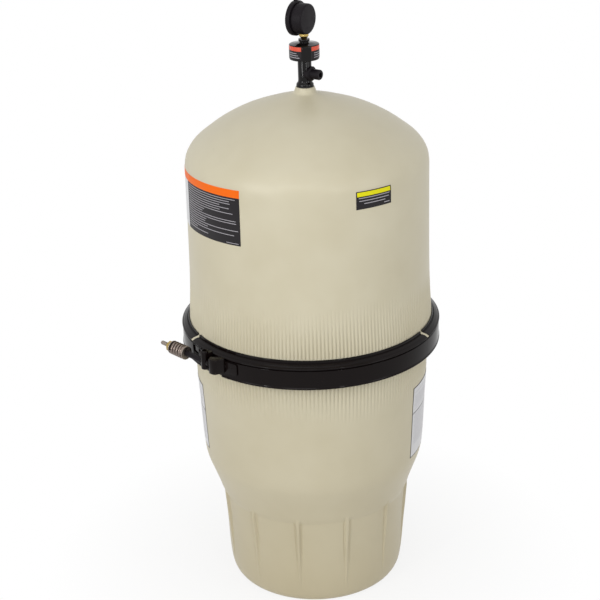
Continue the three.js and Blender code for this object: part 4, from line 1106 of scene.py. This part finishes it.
def relief_knob():
    low, high = KNOB_Z
    ring = turned("knob_ring", [
        (9.4, low), (28.4, low), (29.8, low + 0.6), (KNOB_R, low + 2), (KNOB_R, high - 1.2),
        (30, high - 0.4), (29, high + 0.2), (26, high + 0.6), (17, high + 1.9), (15.6, high + 2.4),
        (9.4, high + 2.4),
    ], 96)
    bulge = prism("front_rib", rounded_slab(21, 9, 3.4), low + 0.6, high - 0.6, bevel=1.2, segments=4)
    bulge.data.transform(turn_z(KNOB_RIB_AZ) @ shift(0, -27.6, 0))
    grips = [ring, bulge]
    for az in KNOB_GRIPS_AZ:
        grip = prism("grip", rounded_slab(6, 4, 1.5), low + 2.5, high - 3, bevel=0.8)
        grip.data.transform(turn_z(az) @ shift(0, -28.6, 0))
        grips.append(grip)
    knob = settle(joined("relief_knob_cap", grips))
    finish(knob, "knob", BLACK_NYLON, "black_plastic", "relief_knob")
    for name, start, end in KNOB_LABELS:
        knob_label(name, start, end)


def knob_label(name, start, end):
    low, high = KNOB_Z
    under, over, inked = KNOB_FILM
    stripe = low + KNOB_STRIPE_FROM
    parts = (("field", low + 4, stripe, LABEL_BLACK), ("stripe", stripe, high - 1.2, LABEL_RED))
    for part, z0, z1, surface in parts:
        outline = [(under, z0), (over, z0), (over, z1), (under, z1)]
        patch = swept(f"knob_label_{name}_{part}", outline, start, end, 18, smooth=60)
        finish(patch, "knob", surface, "black_plastic")
    for i in range(3):
        z = low + 7 + i * 4.4
        outline = [(over, z), (inked, z), (inked, z + 1.4), (over, z + 1.4)]
        patch = swept(f"knob_label_{name}_line_{i}", outline, start + 12, end - 7 - 6 * i, 14, smooth=60)
        finish(patch, "knob", LABEL_GREY, "black_plastic")


# Gauge: outlines in its frame are [radius, distance from the stem's axis]

def gauge():
    cone = turned("stem_cone", [
        (2.4, 1182.3), (6, 1182.3), (6, 1189.4), (4.2, 1190), (4.4, 1190.8), (9.3, 1196.4), (9.3, 1201),
        (6.2, 1201.4), (6.2, 1205.6), (2.4, 1205.6),
    ], 48)
    flats = prism("stem_hex", hexagon(18.4), 1196.4, 1201, bevel=0.4)
    stem = settle(joined("brass_gauge_stem", [cone, flats]), smooth=35)
    finish(stem, "lid", TURNED_BRASS, "brass", "gauge_stem")

    case = turned("gauge_cup", [
        (0, -11.3), (26.5, -11.3), (28.8, -11.0), (30.2, -9.9), (30.8, -8.2), (30.8, 9.4), (29.6, 10.6),
        (29.6, 14.7), (27.2, 14.7), (27.2, -8.9), (0, -8.9),
    ], 96, GAUGE_FRAME)
    finish(case, "lid", MATT_ABS, "black_plastic", "gauge_case")
    ring = turned("ring", [
        (29.9, 12.2), (33.6, 12.0), (34.7, 12.4), (35.2, 13.4), (35.2, 20.4), (34.6, 21.5), (33.2, 22),
        (28.2, 22), (27.2, 21.4), (26.5, 20), (29.9, 20),
    ], 96, GAUGE_FRAME)
    tab = box("tab", (7, 5.2, 6.4), (0, 35.2, 17), GAUGE_FRAME, bevel=0.8)
    bezel = settle(joined("gauge_set_ring", [ring, tab]))
    finish(bezel, "dial_ring", MATT_ABS, "black_plastic", "gauge_ring")
    cap = box("ring_tab_cap", (4.6, 1.3, 4.4), (0, 37.6, 17), GAUGE_FRAME, bevel=0.4)
    finish(cap, "dial_ring", WHITE_ABS, "white_plastic")
    lens = turned("gauge_lens_disc", [
        (0, 17.7), (28.6, 17.7), (28.9, 18), (28.9, 19.2), (28.6, 19.5), (0, 19.5),
    ], 72, GAUGE_FRAME)
    finish(lens, "lid", CLEAR_LENS, "clear_lens", "gauge_lens")
    dial()
    needle()


def dial_number(value, angle):
    bpy.ops.object.text_add(location=(0, 0, 0))
    text = bpy.context.object
    text.data.body = str(value)
    text.data.size = NUMBER_HIGH * MM
    text.data.extrude = 0.06 * MM
    text.data.align_x = text.data.align_y = "CENTER"
    pick(text)
    bpy.ops.object.convert(target="MESH")
    number = bpy.context.object
    x, y = NUMBER_R * math.cos(angle), NUMBER_R * math.sin(angle)
    number.data.transform(GAUGE_FRAME @ shift(x, y, DIAL_PRINT_AT))
    number.matrix_world = Matrix.Identity(4)
    return number


def dial():
    """The dial's plate, and on it the ticks and a plain number at each long tick."""
    disc = turned("gauge_dial_plate", [(1.4, 8.7), (26.5, 8.7), (26.5, 9.7), (1.4, 9.7)], 72, GAUGE_FRAME)
    finish(disc, "lid", DIAL_ENAMEL, "dial_card", "gauge_dial")
    marks = []
    step = DIAL_SWEEP / DIAL_TICKS
    for i in range(DIAL_TICKS + 1):
        long = i % TICKS_PER_NUMBER == 0
        size = (4.2, 0.7, 0.12) if long else (2.4, 0.35, 0.12)
        mark = box("mark", size, (LONG_TICK_R if long else TICK_R, 0, DIAL_PRINT_AT))
        mark.data.transform(GAUGE_FRAME @ turn_z(DIAL_START - i * step))
        marks.append(mark)
    for i in range(DIAL_TICKS // TICKS_PER_NUMBER + 1):
        marks.append(dial_number(i * 10, math.radians(DIAL_START - i * step * TICKS_PER_NUMBER)))
    finish(joined("dial_print", marks), "lid", DIAL_INK, "pointer_paint")


def needle():
    corners = [(-0.5, 20), (0.5, 20), (1.3, 0), (1.0, -7), (-1.0, -7), (-1.3, 0)]
    blade = prism("needle", corners, 10.1, 10.8, bevel=0.1)
    hub = turned("hub", [(0, 9.9), (2.7, 9.9), (3, 10.3), (3, 11.3), (2.4, 11.7), (0, 11.7)], 32)
    pointer = joined("gauge_needle", [blade, hub])
    settle(pointer, GAUGE_FRAME @ turn_z(NEEDLE_TURN))
    finish(pointer, "pointer", DIAL_INK, "pointer_paint", "gauge_pointer")


# Ports and drain: outlines are [radius, distance from the tank's axis]

def ports():
    for name, z in PORT_HEIGHTS.items():
        back = facing_back(z)
        body = turned(f"{name}_bulkhead_fitting", [
            (25, 215), (29, 215), (30, 216), (30, 250.6), (43.2, 250.6), (44, 251.4), (44, 257.8),
            (43.2, 258.6), (36.5, 258.6), (36.5, 283.6), (35.6, 284.6), (25, 284.6),
        ], 72, back)
        finish(body, "tank", BLACK_NYLON, "black_plastic", f"{name}_bulkhead")
        gasket = turned(f"{name}_gasket_ring", band(PORT_BORE_R, 43.6, 247.3, 250.3, 0.8), 64, back)
        finish(gasket, "tank", SEAL_RUBBER, "rubber", f"{name}_gasket")
        tail = turned(f"{name}_tail", [
            (25, 284.9), (36.1, 284.9), (36.1, 286.8), (32.2, 287), (32.2, 332), (31.6, 332.9),
            (30.6, 332.9), (30.2, 332.4), (30.2, 293), (25, 293),
        ], 72, back)
        finish(tail, "tank", BLACK_NYLON, "black_plastic", f"{name}_pipe_tail")
        union_nut(name, back)
    head_outline = [(0, 206), (13.5, 206), (13.5, 229), (18, 229), (18, 234), (0, 234)]
    head = turned("drain_head", round_corners(head_outline, 0.8)[3:-3], 48)
    flats = prism("drain_flats", hexagon(27), 233, 244, bevel=1)
    plug = settle(joined("drain_plug_body", [head, flats]), facing_back(DRAIN_Z))
    finish(plug, "drain", BLACK_NYLON, "black_plastic", "drain_plug")


def union_nut(name, back):
    pieces = [turned("nut_ring", [
        (37.3, 259.4), (41, 259.4), (42, 260.4), (42, 288), (40.2, 292.6), (38.8, 293.2), (33.6, 293.2),
        (33, 292.4), (33, 287.4), (37.3, 287.2),
    ], 72)]
    for i in range(UNION_GRIPS):
        grip = prism("grip", rounded_slab(5, 7, 2), 260.4, 289.5, bevel=1.2)
        grip.data.transform(turn_z(i * 360 / UNION_GRIPS) @ shift(0, -41.2, 0))
        pieces.append(grip)
    ribbed = settle(joined(f"{name}_union_nut_ribbed", pieces), back)
    finish(ribbed, f"{name}_union", BLACK_NYLON, "black_plastic", f"{name}_union_nut")


# Inner pieces: most keep their solids and get their finishes

INNER_LOOKS = {
    "core": WHITE_ABS, "cap": BLUE_URETHANE, "manifold": GREY_ABS, "elbow": GREY_ABS,
    "diffuser": GREY_ABS, "bleed": WHITE_ABS, "strainer": WHITE_ABS, "seal": SEAL_RUBBER,
    "lock_nut": BLACK_NYLON,
}


def folded_cloth(number):
    """One element's folded cloth, with the folds as fine as they show."""
    low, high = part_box(f"element_{number}_pleats")
    centre = (low + high) / 2 / MM
    corners = []
    for i in range(PLEATS):
        for part, radius in PLEAT_FOLD:
            angle = (i + part) / PLEATS * 2 * math.pi
            corners.append((centre.x + radius * math.cos(angle), centre.y + radius * math.sin(angle)))
    piece = prism(f"element_{number}_folded_cloth", corners, low.z / MM, high.z / MM)
    settle(piece, smooth=50)
    finish(piece, "tank", SPUN_POLYESTER, "filter_cloth", f"element_{number}_pleats")


def inner_pieces():
    for name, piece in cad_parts.items():
        for word, surface in INNER_LOOKS.items():
            if word in name and not piece.hide_render:
                piece.data.materials.clear()
                piece.data.materials.append(surface)
    for number in range(1, 5):
        folded_cloth(number)


camera()
studio()
floor()
upper_shell()
lower_shell()
port_pads()
clamp()
bolt_hardware()
big_label()
small_label()
bowl_labels()
relief_valve()
gauge()
ports()
inner_pieces()

scene = bpy.context.scene
scene.view_settings.view_transform = "Standard"
